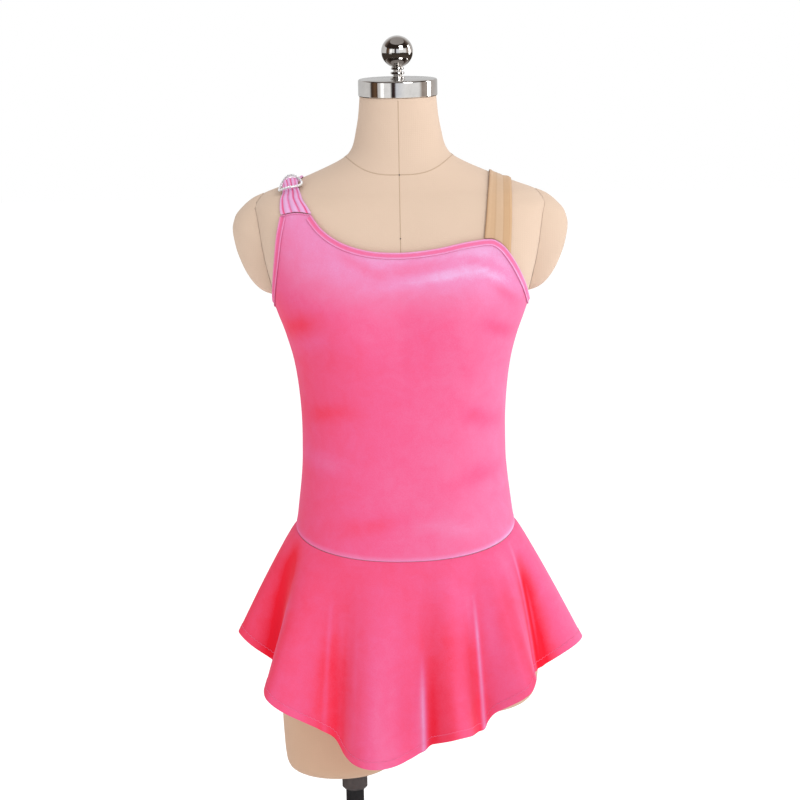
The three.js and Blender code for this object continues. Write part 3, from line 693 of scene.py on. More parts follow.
def step_inward(edge):
    """How round and height change with each millimetre from an edge into the panel."""
    across, up, normal = body_frame(edge[:, 0], edge[:, 1])
    forward = unit(np.gradient(body_point(edge[:, 0], edge[:, 1]), axis=0))
    inward = unit(np.cross(forward, normal))
    aa, uu, au = (np.sum(p * q, axis=-1) for p, q in ((across, across), (up, up), (across, up)))
    ia, iu = np.sum(inward * across, axis=-1), np.sum(inward * up, axis=-1)
    det = aa * uu - au**2
    return (ia * uu - iu * au) / det, (iu * aa - ia * au) / det


def band(name, edge):
    """A narrow strip inside an edge; share 0 is its stitched side, 1 the garment's edge."""
    degrees, rise = step_inward(edge)
    share = np.linspace(0, 1, 15)[:, None]
    inset = BAND["width"] * (1 - share)
    high = curve(BAND_ACROSS["share"], BAND_ACROSS["rise"])(share)
    stand = EASE + CLOTH + BAND["lift"] + BAND["thick"] * (0.25 + 0.9 * high)
    rounds, heights = edge[:, 0] + degrees * inset, edge[:, 1] + rise * inset
    points = off_body(rounds, heights, stand)
    # Painted light: a highlight on the rolled edge and inner ridge, shade in the low middle, paler to the
    # lit side
    piece = lay_cloth(name, points, 0.6 + 0.34 * high + 0.12 * facing(points)[..., 0])
    give_wall(piece, 0.6)
    smooth(piece, 60)
    return piece


def trimmed(run, at_start, at_end):
    """Stops a band short of the side seam or of the next band; the amounts count plain steps."""
    index = np.arange(len(run))
    inner = np.linspace(at_start * FINE, len(run) - 1 - at_end * FINE, len(run))
    return np.stack([np.interp(inner, index, run[:, 0]), np.interp(inner, index, run[:, 1])], axis=-1)


def runs_of(runs, *names):
    return joined([runs[name] for name in names])


NECK_RUNS = ("neckline", "meshSeam", "farArmhole")
AT_SIDE, AT_STRAP = 0.15, 0.1
bands = [
    band("velvet_band_armhole_front", trimmed(front_runs["armhole"], AT_SIDE, AT_STRAP)),
    band("velvet_band_neck_front", trimmed(runs_of(front_runs, *NECK_RUNS), AT_STRAP, AT_SIDE)),
    band("velvet_band_neck_back", trimmed(unwrapped(runs_of(back_runs, *NECK_RUNS)), AT_SIDE, AT_STRAP)),
    band("velvet_band_armhole_back", trimmed(unwrapped(back_runs["armhole"]), AT_STRAP, AT_SIDE)),
]

# %% [markdown]
# The skirt
#
# A flared skirt is part of a ring of cloth: its waist edge is short and its hem long, so the extra length
# falls into folds. Its hem is cut short at the hips and runs down to a point left of the middle. One
# table says how the cloth is cut, another where each fold stands out or falls in, and both follow the
# plain solid. Smaller ripples and thin ridges between the folds, and a narrow turned hem, are added to
# the fine cloth. The last table paints highlights along the thin ridges and shade into the fold troughs,
# and small random strokes make the pile a little paler or deeper here and there.

# %% The cut and the folds
SKIRT_CUT = read_table("""
at   length flare
-180 166    66
-130 164    66
-100 152    62
-83  145.5  61
-66  156    59
-50  189    60
-30  213    58
-24  230    57
-12  242    56
5    222    54
8    214    54
16   209.5  54
29   206    56
34   188    57
42   178.5  57.5
49   164.5  57
63   163    59
83   161    63.5
130  166    66
180  166    66
""")
FOLDS = read_table("""
at   out
-180 15
-165 -15
-149 16
-132 -15
-116 15
-101 -12
-83  12
-67  -22
-50  24
-30  -20
-12  20
4.5  -17
16   20
30   -18
42   20
63   -22
83   17
100  -12
116  15
132  -15
149  16
165  -15
180  15
""")
SKIRT = {"wall": 1.2, "flarePower": 0.78, "foldPower": 1.25, "hipClear": 2.5}
SKIRT_ROWS, SKIRT_COLUMNS = 56, 300
# The skirt's painted light: paler to the lit side, painted highlight on fold crests and shade in troughs
SKIRT_PAINTED_LIGHT = {"plain": 0.43, "litSide": 0.15, "crests": 0.005}
HEM = {"width": 9, "rise": 0.5, "fold": 1.5}
RIPPLES = read_table("""
at   width out  start
-57  2.2 1.8  0.3
-41  4   -1.6 0.3
-34  1.8 1.4  0.2
-20  4   1.6  0.25
-3   3.5 1.2  0.45
5    1.4 2.4  0.5
14   3   1.4  0.5
26   3   -1.8 0.3
29.5 1.4 2.8  0.25
44   3   1.4  0.4
56   3   1.2  0.35
62   1.5 2.2  0.1
66   1.4 1.8  0.3
74   4   -1.6 0.4
-75  4   1.4  0.35
""")
# Painted highlights along thin ridges and painted shade in the fold troughs: at, width, start, amount
PAINTED_FOLD_LIGHT = read_table("""
at   width start amount
-85  9     0     -0.18
-67  6     0     -0.65
-57  1.2   0.3   0.16
-46  7     0.1   -0.06
-34  1.1   0.2   0.16
-30  6     0.35  -0.15
5    1     0.45  0.5
8    3     0.5   -0.14
17   7     0.2   -0.2
26   4     0.3   -0.26
29.7 0.9   0.2   0.5
35   3     0.2   0.1
46   8     0.15  -0.2
61.5 1.2   0     0.35
65.5 1     0.3   0.3
65   6     0.1   -0.55
""")


def fold_at(turn):
    """Half waves between crests and troughs."""
    at, out = FOLDS["at"], FOLDS["out"]
    i = np.clip(np.searchsorted(at, turn, side="right") - 1, 0, len(at) - 2)
    share = (turn - at[i]) / (at[i + 1] - at[i])
    return out[i] + (out[i + 1] - out[i]) * (1 - np.cos(np.pi * share)) / 2


def ripple_at(turn, share):
    """The small ripples start part of the way down and grow towards the hem."""
    total = np.zeros(np.broadcast(turn, share).shape)
    for at, width, out, start in zip(*RIPPLES.values()):
        grown = np.clip((share - start) / (1 - start), 0, 1) ** 1.3
        total += out * grown * np.exp(-(((turn - at) / width) ** 2))
    return total


SMALL_STROKES = {"at": (-180, 180), "width": (1, 3.5), "start": (0.05, 0.8), "amount": (-0.11, 0.09)}
draw = np.random.default_rng(7)
small_strokes = zip(*[draw.uniform(*limits, 150) for limits in SMALL_STROKES.values()])
painted_fold_light_and_pile_strokes = [*zip(*PAINTED_FOLD_LIGHT.values()), *small_strokes]


def painted_fold_light_and_pile_at(turn, share):
    """Painted highlight and shade along the folds, and random strokes of the pile.

    Each starts part of the way down and soon has its full strength.
    """
    total = np.zeros(np.broadcast(turn, share).shape)
    for at, width, start, amount in painted_fold_light_and_pile_strokes:
        total += amount * np.clip((share - start) / 0.25, 0, 1) * np.exp(-(((turn - at) / width) ** 2))
    return total


cut_length = curve(SKIRT_CUT["at"], SKIRT_CUT["length"])
cut_flare = curve(SKIRT_CUT["at"], SKIRT_CUT["flare"])


def skirt_point(round_, share):
    """share runs from 0 at the waist seam to 1 at the hem."""
    turn = (round_ + 180) % 360 - 180
    start = seam_height(turn) - 2 * SEAM_GAP
    flare, fold = cut_flare(turn), fold_at(turn)
    stand = flare * share ** SKIRT["flarePower"] + fold * share ** SKIRT["foldPower"]
    stand = stand + ripple_at(turn, share)
    height = start - share * np.sqrt(cut_length(turn) ** 2 - (flare + fold) ** 2)
    waist = body_point(turn, start)
    outward = unit(body_frame(turn, start)[2] * np.array([1, 1, 0]))
    hip = np.sum((body_point(turn, height) - waist) * outward, axis=-1) + SKIRT["hipClear"]
    clear = np.where(share < 0.02, stand, np.maximum(stand, hip))
    point = waist + outward * (EASE + CLOTH / 2 + clear)[..., None]
    point[..., 2] = height
    return point


def skirt_facing(round_, share):
    """Which way the skirt faces: outwards, across the way round and the way down."""
    across = skirt_point(round_ + 0.2, share) - skirt_point(round_ - 0.2, share)
    above, below = np.maximum(share - 0.004, 0), np.minimum(share + 0.004, 1)
    return unit(np.cross(across, skirt_point(round_, above) - skirt_point(round_, below)))


def skirt_panel(name, from_round, to_round):
    inset = math.degrees(SEAM_GAP / 2 / float(body("half", SEAM["side"])))
    share = np.linspace(1, 0, SKIRT_ROWS + 1)[:, None]
    round_ = np.linspace(from_round + inset, to_round - inset, SKIRT_COLUMNS + 1)[None, :]
    share, round_ = np.broadcast_arrays(share, round_)
    turn = (round_ + 180) % 360 - 180
    from_hem = (1 - share) * cut_length(turn)
    hem = HEM["rise"] * np.clip((HEM["width"] - from_hem) / HEM["fold"], 0, 1)
    stand = SKIRT["wall"] / 2 + hem
    outward = skirt_facing(round_, share)
    # Painted light: paler to the lit side, painted fold highlights and shade, with random pile strokes
    painted_light_and_pile = SKIRT_PAINTED_LIGHT["plain"] + SKIRT_PAINTED_LIGHT["litSide"] * outward[..., 0] + painted_fold_light_and_pile_at(turn, share)
    painted_light_and_pile += SKIRT_PAINTED_LIGHT["crests"] * fold_at(turn) * share
    panel = lay_cloth(name, skirt_point(round_, share) + outward * stand[..., None], painted_light_and_pile)
    give_wall(panel, SKIRT["wall"])
    smooth(panel, 60)
    return panel


skirt_front = skirt_panel("velvet_skirt_front", -SIDE_SEAM, SIDE_SEAM)
skirt_back = skirt_panel("velvet_skirt_back", SIDE_SEAM, 360 - SIDE_SEAM)
print("skirt:", len(skirt_front.data.polygons) + len(skirt_back.data.polygons), "faces")

# %% [markdown]
# The straps
#
# The right strap is a strip of velvet gathered lengthways. It is sewn flat at both ends, draws in to a
# bundle, and humps over the bar of its ring. Its section is a closed outline, so rings of points are
# joined into a tube with filled ends. Past the bar the gathers puff up inside the ring. The left strap is
# a flat strip of mesh with a turned edge on each side, a little thicker than its middle.

# %% Laying a strap over the shoulder
STRAP = {"reach": 0.12, "thick": 2.2, "gathers": 4, "gatherDepth": 0.8, "gatherShift": 0.35, "topX": -126,
         "puff": 4.8, "puffPast": 0.05, "puffWidth": 0.03}
BACK_REACH = 0.26
RING_SPAN = 0.22  # how far along the strap its ring sits
STRAP_ROWS = read_table("""
span half lift
0    17.2 0.8
0.06 13.8 1
0.12 12.4 1
0.16 10.8 0.9
0.19 9.6  2.8
0.22 9.2  4.9
0.25 9.2  4.9
0.28 9.6  3.2
0.33 11   2
0.4  12.4 1
0.6  13   1
0.9  13.8 1
1    15   0.8
""")
MESH_STRAP = {"reach": 0.45, "topX": 118.5, "topHalf": 12.5, "lift": 1.1, "thick": 1}
STRAP_RISE = 1.1
SHOULDER_AXIS = 950


def shoulder_point(x, angle):
    """Where a ray from the shoulder axis leaves the form; angle is 0 straight up and + to the front."""
    x, angle = np.broadcast_arrays(np.asarray(x, float), np.asarray(angle, float))
    y, z = -np.sin(angle), np.cos(angle)
    near, far = np.zeros(x.shape), np.full(x.shape, 220.0)
    for _ in range(32):
        reach = (near + far) / 2
        height = SHOULDER_AXIS + z * reach
        power = body("square", height)
        depth = np.where(y < 0, body("front", height), body("back", height))
        size = (np.abs(x) / body("half", height)) ** power + (np.abs(y * reach) / depth) ** power
        inside = size < 1
        near, far = np.where(inside, reach, near), np.where(inside, far, reach)
    return np.stack([x, y * near, SHOULDER_AXIS + z * near], axis=-1)


def shoulder_normal(x, angle):
    across = shoulder_point(x + 0.5, angle) - shoulder_point(x - 0.5, angle)
    up = shoulder_point(x, angle - 0.01) - shoulder_point(x, angle + 0.01)
    return unit(np.cross(across, up))


def strap_end(run, across):
    """x and angle along the edge that a strap is sewn to."""
    index = across * (len(run) - 1)
    round_ = np.interp(index, np.arange(len(run)), run[:, 0])
    height = np.interp(index, np.arange(len(run)), run[:, 1]) + STRAP_RISE
    point = body_point(round_, height)
    return point[..., 0], np.arctan2(-point[..., 1], point[..., 2] - SHOULDER_AXIS)


def strap_place(front_run, back_run, top_x, half, reach, across, span):
    """Near its ends a strap is as wide as its seam.

    reach says how soon it draws in, and at the back it never does so sooner than BACK_REACH.
    """
    front_x, front_angle = strap_end(front_run, across)
    back_x, back_angle = strap_end(back_run, across)
    hold = np.clip(1 - span / reach, 0, 1) ** 1.5
    hold_back = np.clip(1 - (1 - span) / max(reach, BACK_REACH), 0, 1) ** 1.5
    gathered = top_x + (2 * across - 1) * half
    x = gathered + (front_x - gathered) * hold
    x = x + (back_x - x) * hold_back
    return x, front_angle + (back_angle - front_angle) * span


def strap_skin(x, angle, offset):
    return shoulder_point(x, angle) + shoulder_normal(x, angle) * np.asarray(offset)[..., None]


# %% The gathered velvet strap
strap_half = curve(STRAP_ROWS["span"], STRAP_ROWS["half"])
strap_lift = curve(STRAP_ROWS["span"], STRAP_ROWS["lift"])
spans = np.linspace(1, 0, 200)[:, None]
across = np.linspace(0, 1, 73)[None, :]


def gathered_layer(is_outer):
    x, angle = strap_place(
        front_runs["strapSeam"], back_runs["strapSeam"], STRAP["topX"], strap_half(spans), STRAP["reach"],
        across, spans
    )
    round_edge = np.sqrt(np.clip(1 - (2 * across - 1) ** 2, 0, 1))
    gather = np.pi * (STRAP["gathers"] * across + STRAP["gatherShift"] * spans)
    wave, crest = np.cos(2 * gather), np.abs(np.cos(gather))
    ripple = STRAP["gatherDepth"] * (0.35 * wave + 0.75 * (2 * crest - 1)) * round_edge
    past_ring = (spans - RING_SPAN - STRAP["puffPast"]) / STRAP["puffWidth"]
    puff = STRAP["puff"] * np.exp(-(past_ring**2)) * round_edge
    fullness = STRAP["thick"] * (0.45 + 0.55 * round_edge) + ripple + puff
    # Painted shade in the valleys between gathers, and a painted highlight along their crests
    valley_shade = (0.32 + 0.2 * np.sin(9 * across + 14 * spans)) * np.exp(-((crest / 0.3) ** 2))
    return strap_skin(x, angle, strap_lift(spans) + fullness * is_outer), 0.98 + 0.08 * wave - valley_shade


outer, outer_painted_light = gathered_layer(True)
inner, inner_painted_light = gathered_layer(False)
strap_rings = np.concatenate([outer, inner[:, ::-1]], axis=1)
strap_painted_light = np.concatenate([outer_painted_light, inner_painted_light[:, ::-1], outer_painted_light[:, :1]], axis=1)
strap = close_round("velvet_strap", strap_rings, strap_painted_light)
smooth(strap, 70)

# %% The mesh strap
spans = np.linspace(1, 0, 120)[:, None]
across = np.linspace(0, 1, 33)[None, :]
x, angle = strap_place(
    front_runs["meshSeam"], back_runs["meshSeam"], MESH_STRAP["topX"], MESH_STRAP["topHalf"],
    MESH_STRAP["reach"], across, spans
)
MESH_FOLDS = read_table("""
at   width rise
0.07 0.06  0.75
0.86 0.09  0.75
0.62 0.07  -0.5
""")
folded = sum(rise * np.exp(-(((across - at) / width) ** 2)) for at, width, rise in zip(*MESH_FOLDS.values()))
stand = MESH_STRAP["lift"] + MESH_STRAP["thick"] * (0.6 + folded)
mesh_strap = lay_cloth("mesh_strap", strap_skin(x, angle, stand))
give_wall(mesh_strap, 0.55)
smooth(mesh_strap, 60)

# %% [markdown]
# The ring of stones
#
# The ring is an oval of cast metal with a bar across it, set all round with small faceted stones. The
# oval arches over the cloth at its two ends, where the strap passes under it. One stone is modelled with
# a flat table and eight sloping facets, and it is copied round the oval, each copy turned to face out.

# %% Ring and stones
RING = {"across": 14, "along": 12.5, "wire": 1.5, "sideHeight": 4.1, "frontHeight": 9.6, "backHeight": 12.5,
        "barHeight": 2.5, "barWire": 1.1, "turned": -0.12}
STONES = 30
STONE = {"radius": 1.35, "table": 0.75, "height": 0.75, "edge": 0.12, "lean": 0.25}

seat_x, seat_angle = strap_place(
    front_runs["strapSeam"], back_runs["strapSeam"], STRAP["topX"], float(strap_half(RING_SPAN)),
    STRAP["reach"], np.array(0.5), RING_SPAN
)
seat = shoulder_point(seat_x, seat_angle)
seat_up = shoulder_normal(seat_x, seat_angle)
seat_along = shoulder_point(seat_x, seat_angle - 0.02) - shoulder_point(seat_x, seat_angle + 0.02)
seat_across = unit(np.cross(seat_along, seat_up))
turned_cos, turned_sin = math.cos(RING["turned"]), math.sin(RING["turned"])
straight = np.stack([seat_across, np.cross(seat_up, seat_across), seat_up])
seat_axes = np.array([[turned_cos, turned_sin, 0], [-turned_sin, turned_cos, 0], [0, 0, 1]]) @ straight


def on_strap(local):
    """From the ring's own axes (across, along, out) to the figure's."""
    return seat + local @ seat_axes


def ring_line(turn):
    end = np.where(np.sin(turn) > 0, RING["backHeight"], RING["frontHeight"])
    height = RING["sideHeight"] + (end - RING["sideHeight"]) * np.sin(turn) ** 2
    return np.stack([RING["across"] * np.cos(turn), RING["along"] * np.sin(turn), height], axis=-1)


def ring_outward(turn):
    return unit(np.stack([np.cos(turn) / RING["across"], np.sin(turn) / RING["along"], 0 * turn], axis=-1))


turn = np.linspace(0, 2 * np.pi, 97)[None, :]
section = np.linspace(0, 2 * np.pi, 17)[:, None]
wire = (
    ring_line(turn) + ring_outward(turn) * RING["wire"] * np.cos(section)[..., None]
    + np.array([0, 0, 1]) * RING["wire"] * 0.8 * np.sin(section)[..., None]
)
ring = lay_cloth("ring_oval", on_strap(wire))
in_edit_mode(ring, lambda: bpy.ops.mesh.remove_doubles(threshold=0.01 * MM))
in_edit_mode(ring, lambda: bpy.ops.mesh.normals_make_consistent(inside=False))

bar_turn = np.linspace(0, 2 * np.pi, 16, endpoint=False)
bar_x = np.linspace(-RING["across"], RING["across"], 24)[:, None]
bar = np.stack([
    bar_x + 0 * bar_turn, RING["barWire"] * np.cos(bar_turn) + 0 * bar_x,
    RING["barHeight"] + RING["barWire"] * np.sin(bar_turn) + 0 * bar_x,
], axis=-1)
bar = close_round("ring_bar", on_strap(bar))
in_edit_mode(bar, lambda: bpy.ops.mesh.normals_make_consistent(inside=False))
use_modifier(ring, "BOOLEAN", operation="UNION", object=bar, solver="EXACT")
bpy.data.objects.remove(bar)
smooth(ring, 50)

bpy.ops.object.select_all(action="DESELECT")
bpy.ops.mesh.primitive_cone_add(
    vertices=8, radius1=STONE["radius"] * MM, radius2=STONE["table"] * MM, depth=STONE["height"] * MM
)
stone = bpy.context.active_object
stone.name = "stone"
in_edit_mode(stone, lambda: bpy.ops.mesh.bevel(offset=STONE["edge"] * MM, segments=1, affect="EDGES"))

stones = []
for k in range(STONES):
    t = np.array(2 * math.pi * k / STONES)
    lean = unit(np.array([0, 0, 1.0]) + STONE["lean"] * ring_outward(t))
    seated = on_strap(ring_line(t) + lean * (RING["wire"] * 0.8 + STONE["height"] * 0.3))
    outwards = Vector(lean @ seat_axes).to_track_quat("Z", "Y").to_matrix().to_4x4()
    copy = stone.copy()
    copy.data = stone.data.copy()
    bpy.context.scene.collection.objects.link(copy)
    copy.data.transform(Matrix.Translation(Vector(seated + [TORSO_X, 0, 0]) * MM) @ outwards)
    stones.append(copy)
bpy.data.objects.remove(stone)
stones = join_up("ring_stones", stones)
print("stones:", STONES, "with", len(stones.data.polygons), "facets")

# %% [markdown]
# Thread
#
# Stretch seams are sewn with a zigzag, which gives with the cloth. The thread shows at the foot of the
# strap and above the hem. Each line of sewing is a thin raised thread that swings from side to side
# along a line on the cloth: a curve with a round bevel, converted to a mesh.

# %% Zigzag stitches
FOOT_STITCH = {"stitch": 1.6, "swing": 1.4, "radius": 0.22}
HEM_STITCH = {"stitch": 2.6, "swing": 1.2, "radius": 0.2}
FOOT_INSET = 1.6  # from the edge of the bodice to the sewing at a strap's foot
HEM_ENDS = 0.6  # degrees of the way round that the sewing leaves free at each side seam


def sewn_line(name, points, normals, stitch, swing, radius):
    """A zigzag thread along a line of points on the cloth, all in millimetres."""
    along = distance_along(points)
    count = max(4, int(along[-1] / stitch))
    even = np.linspace(0, along[-1], count + 1)
    line = np.stack([np.interp(even, along, points[:, k]) for k in range(3)], axis=-1)
    out = unit(np.stack([np.interp(even, along, normals[:, k]) for k in range(3)], axis=-1))
    sideways = unit(np.cross(out, np.gradient(line, axis=0)))
    side = np.where(np.arange(count + 1) % 2 == 0, 1, -1)[:, None] * swing / 2
    line = (line + sideways * side + out * radius + [TORSO_X, 0, 0]) * MM
    data = bpy.data.curves.new(name, "CURVE")
    data.dimensions = "3D"
    data.bevel_depth = radius * MM
    data.bevel_resolution = 1
    spline = data.splines.new("POLY")
    spline.points.add(count)
    spline.points.foreach_set("co", np.concatenate([line, np.ones((count + 1, 1))], axis=1).ravel())
    thread = bpy.data.objects.new(name, data)
    bpy.context.scene.collection.objects.link(thread)
    select_only(thread)
    bpy.ops.object.convert(target="MESH")
    smooth(bpy.context.active_object, 70)
    return bpy.context.active_object


def foot_line(name, run):
    """The sewing across the foot of a strap, a little way in from the edge of the bodice."""
    degrees, rise = step_inward(run)
    rounds, heights = run[:, 0] + FOOT_INSET * degrees, run[:, 1] + FOOT_INSET * rise
    surface = off_body(rounds, heights, EASE + CLOTH + 0.05)
    out = body_frame(rounds, heights)[2]
    return sewn_line(name, surface, out, *FOOT_STITCH.values())


def hem_line(name, start):
    """The sewing along the top of the turned hem of one panel."""
    round_ = np.linspace(start + HEM_ENDS, start + 180 - HEM_ENDS, 400)
    share = 1 - HEM["width"] / cut_length((round_ + 180) % 360 - 180)
    out = skirt_facing(round_, share)
    surface = skirt_point(round_, share) + out * (SKIRT["wall"] / 2 + 0.1)
    return sewn_line(name, surface, out, *HEM_STITCH.values())


strap_threads = [
    foot_line("thread_strap_front", front_runs["strapSeam"]),
    foot_line("thread_strap_back", unwrapped(back_runs["strapSeam"])),
]
hem_threads = [hem_line("thread_hem_front", -SIDE_SEAM), hem_line("thread_hem_back", SIDE_SEAM)]
print("lines of sewing:", len(strap_threads) + len(hem_threads))

# %% [markdown]
# Node groups that the finishes share
#
# Velvet is a knitted ground with a dense short pile. Brushed one way the pile looks deep and saturated,
# the other way pale, so even plain velvet is cloudy. Two noises make that: broad clouds where hands
# have stroked it, and fine grain where single tufts stand. The knitted covers use a second group, which
# crosses two fine waves into small stitches.

# %% Helpers for nodes
def add(tree, kind, **values):
    """Adds a shader node; each value goes to a property of that name or else to a socket."""
    node = tree.nodes.new("ShaderNode" + kind)
    for key, value in values.items():
        if hasattr(node, key):
            setattr(node, key, value)
        else:
            node.inputs[key.replace("_", " ")].default_value = value
    return node


def math_node(tree, operation, *values):
    """A Math node whose inputs are sockets or plain numbers."""
    node = add(tree, "Math", operation=operation)
    for socket, value in zip(node.inputs, values):
        if isinstance(value, bpy.types.NodeSocket):
            tree.links.new(value, socket)
        else:
            socket.default_value = value
    return node.outputs[0]


def new_group(name, amounts, outputs):
    """A group that takes a position and named amounts, and puts out named masks."""
    group = bpy.data.node_groups.new(name, "ShaderNodeTree")
    group.interface.new_socket(name="Position", in_out="INPUT", socket_type="NodeSocketVector")
    for label, value in amounts.items():
        socket = group.interface.new_socket(name=label, in_out="INPUT", socket_type="NodeSocketFloat")
        socket.default_value = value
    for label in outputs:
        group.interface.new_socket(name=label, in_out="OUTPUT", socket_type="NodeSocketFloat")
    return group, group.nodes.new("NodeGroupInput"), group.nodes.new("NodeGroupOutput")


# %% Pile and knit
pile, given, result = new_group(
    "velvet pile", {"Cloud Scale": 45.0, "Grain Scale": 700.0}, ("Clouds", "Grain")
)
clouds = add(pile, "TexNoise", Detail=4.0, Roughness=0.62, Distortion=0.4)
grain = add(pile, "TexNoise", Detail=2.0, Roughness=0.6)
for noise, scale, output in ((clouds, "Cloud Scale", "Clouds"), (grain, "Grain Scale", "Grain")):
    pile.links.new(given.outputs["Position"], noise.inputs["Vector"])
    pile.links.new(given.outputs[scale], noise.inputs["Scale"])
    pile.links.new(noise.outputs["Fac"], result.inputs[output])

knit, given, result = new_group("fine knit", {"Stitches per Metre": 900.0}, ("Stitch", "Wear"))
wales = add(knit, "TexWave", wave_type="BANDS", bands_direction="X", Distortion=0.6, Detail=1.0)
courses = add(knit, "TexWave", wave_type="BANDS", bands_direction="Z", Distortion=0.6, Detail=1.0)
wear = add(knit, "TexNoise", Scale=14.0, Detail=5.0, Roughness=0.6)
HALF_WAVE = 0.16  # a stitch is half a wave, and bands of scale 1 have about 6.4 half waves to a metre
rate = math_node(knit, "MULTIPLY", given.outputs["Stitches per Metre"], HALF_WAVE)
for wave in (wales, courses):
    knit.links.new(given.outputs["Position"], wave.inputs["Vector"])
    knit.links.new(rate, wave.inputs["Scale"])
knit.links.new(given.outputs["Position"], wear.inputs["Vector"])
crossed = math_node(knit, "MULTIPLY", wales.outputs["Fac"], courses.outputs["Fac"])
knit.links.new(crossed, result.inputs["Stitch"])
knit.links.new(wear.outputs["Fac"], result.inputs["Wear"])


# %% [markdown]
# Velvet, knit and metal
#
# Each velvet piece carries the light and shade painted on it as it was laid. A colour ramp reads that
# together with the pile's noise: deep coral for painted shade, through pink, to lilac for a painted
# highlight and sheen. The sheen is also the shader's own, so that the soft bright edge of each fold comes
# from the light. The knitted covers cross fine stitches with slow wear, and a tint may change part of
# them: painted shade on the thigh, and on the mesh strap its doubled edges, sewing and a painted shadow.

# %% Finishes
def start_material(name, **shader_values):
    material = bpy.data.materials.new(name)
    material.use_nodes = True
    tree = material.node_tree
    tree.nodes.clear()
    shader = add(tree, "BsdfPrincipled")
    for key, value in shader_values.items():
        shader.inputs[key.replace("_", " ")].default_value = value
    output = add(tree, "OutputMaterial")
    tree.links.new(shader.outputs[0], output.inputs["Surface"])
    position = add(tree, "TexCoord").outputs["Object"]
    return material, tree, shader, position


def ramp(tree, factor, *stops):
    node = add(tree, "ValToRGB")
    elements = node.color_ramp.elements
    while len(elements) < len(stops):
        elements.new(0.5)
    for element, (place, colour) in zip(elements, stops):
        element.position = place
        element.color = (*colour, 1)
    tree.links.new(factor, node.inputs["Fac"])
    return node.outputs["Color"]


def use_group(tree, group, position, **values):
    node = add(tree, "Group", node_tree=group)
    tree.links.new(position, node.inputs["Position"])
    for key, value in values.items():
        node.inputs[key.replace("_", " ")].default_value = value
    return node


def bump(tree, shader, height, strength, distance):
    node = add(tree, "Bump", Strength=strength, Distance=distance)
    tree.links.new(height, node.inputs["Height"])
    tree.links.new(node.outputs["Normal"], shader.inputs["Normal"])


# Velvet colours from painted shade at 0, through pink, to painted highlight and sheen at 1
VELVET_SHADED_TO_LIT = [
    (0.0, (0.765, 0.012, 0.032)),
    (0.25, (0.755, 0.054, 0.117)),
    (0.5, (0.73, 0.103, 0.240)),
    (0.7, (0.71, 0.164, 0.325)),
    (0.85, (0.70, 0.228, 0.435)),
    (1.0, (0.70, 0.38, 0.62)),
]


def velvet(name):
    """Pink velvet with painted light and shade, a little cloudy and with a fine grain."""
    material, tree, shader, position = start_material(
        name, Roughness=0.85, Sheen_Weight=0.3, Sheen_Roughness=0.4, Sheen_Tint=(1, 0.45, 0.65, 1),
        Specular_IOR_Level=0.05,
    )
    pile_here = use_group(tree, pile, position)
    painted_light_and_pile = add(tree, "Attribute", attribute_name="painted_light_and_pile").outputs["Fac"]
    cloudy = math_node(tree, "MULTIPLY_ADD", pile_here.outputs["Clouds"], 0.2, -0.1)
    speckled = math_node(tree, "MULTIPLY_ADD", pile_here.outputs["Grain"], 0.14, -0.07)
    tone = math_node(tree, "ADD", painted_light_and_pile, math_node(tree, "ADD", cloudy, speckled))
    tree.links.new(ramp(tree, tone, *VELVET_SHADED_TO_LIT), shader.inputs["Base Color"])
    bump(tree, shader, pile_here.outputs["Grain"], 0.3, 0.0004)
    return material


def knitted(name, light, dark, stitches, roughness, sheen, tint=None):
    material, tree, shader, position = start_material(
        name, Roughness=roughness, Sheen_Weight=sheen, Sheen_Roughness=0.5, Specular_IOR_Level=0.15
    )
    cloth = use_group(tree, knit, position, Stitches_per_Metre=stitches)
    wear = math_node(tree, "MULTIPLY", cloth.outputs["Wear"], 0.7)
    tone = math_node(tree, "MULTIPLY_ADD", cloth.outputs["Stitch"], 0.3, wear)
    colour = ramp(tree, tone, (0.15, dark), (0.75, light))
    if tint:
        tinted = add(tree, "MixRGB", blend_type="MULTIPLY", Fac=1.0)
        tree.links.new(colour, tinted.inputs["Color1"])
        tree.links.new(tint(tree, position), tinted.inputs["Color2"])
        colour = tinted.outputs[0]
    tree.links.new(colour, shader.inputs["Base Color"])
    bump(tree, shader, cloth.outputs["Stitch"], 0.25, 0.0003)
    return material


def shaded_thigh(tree, position):
    """Painted shade: the thigh's cover is darker and warmer, as it stands in the skirt's shade."""
    apart = add(tree, "SeparateXYZ")
    tree.links.new(position, apart.inputs[0])
    return ramp(tree, apart.outputs["Z"], (0.42, (0.93, 0.80, 0.71)), (0.55, (1, 1, 1)))


def doubled_edges_and_edge_shadow(tree, position):
    """Doubled mesh along both edges of the strap, sewing beside each, and a painted shadow at one edge."""
    apart = add(tree, "SeparateXYZ")
    tree.links.new(add(tree, "TexCoord").outputs["UV"], apart.inputs[0])
    return ramp(
        tree, apart.outputs["X"],
        # The first stop is a painted shadow along one edge of the strap
        (0.0, (0.55, 0.42, 0.32)), (0.05, (0.97, 0.92, 0.86)), (0.27, (0.97, 0.92, 0.86)),
        (0.31, (0.90, 0.84, 0.76)), (0.36, (0.98, 0.97, 0.97)), (0.6, (0.98, 0.97, 0.97)),
        (0.64, (0.90, 0.82, 0.72)), (0.68, (0.98, 0.91, 0.81)), (0.84, (0.98, 0.91, 0.81)),
        (0.88, (0.90, 0.80, 0.68)), (0.93, (0.98, 0.91, 0.81)),
    )


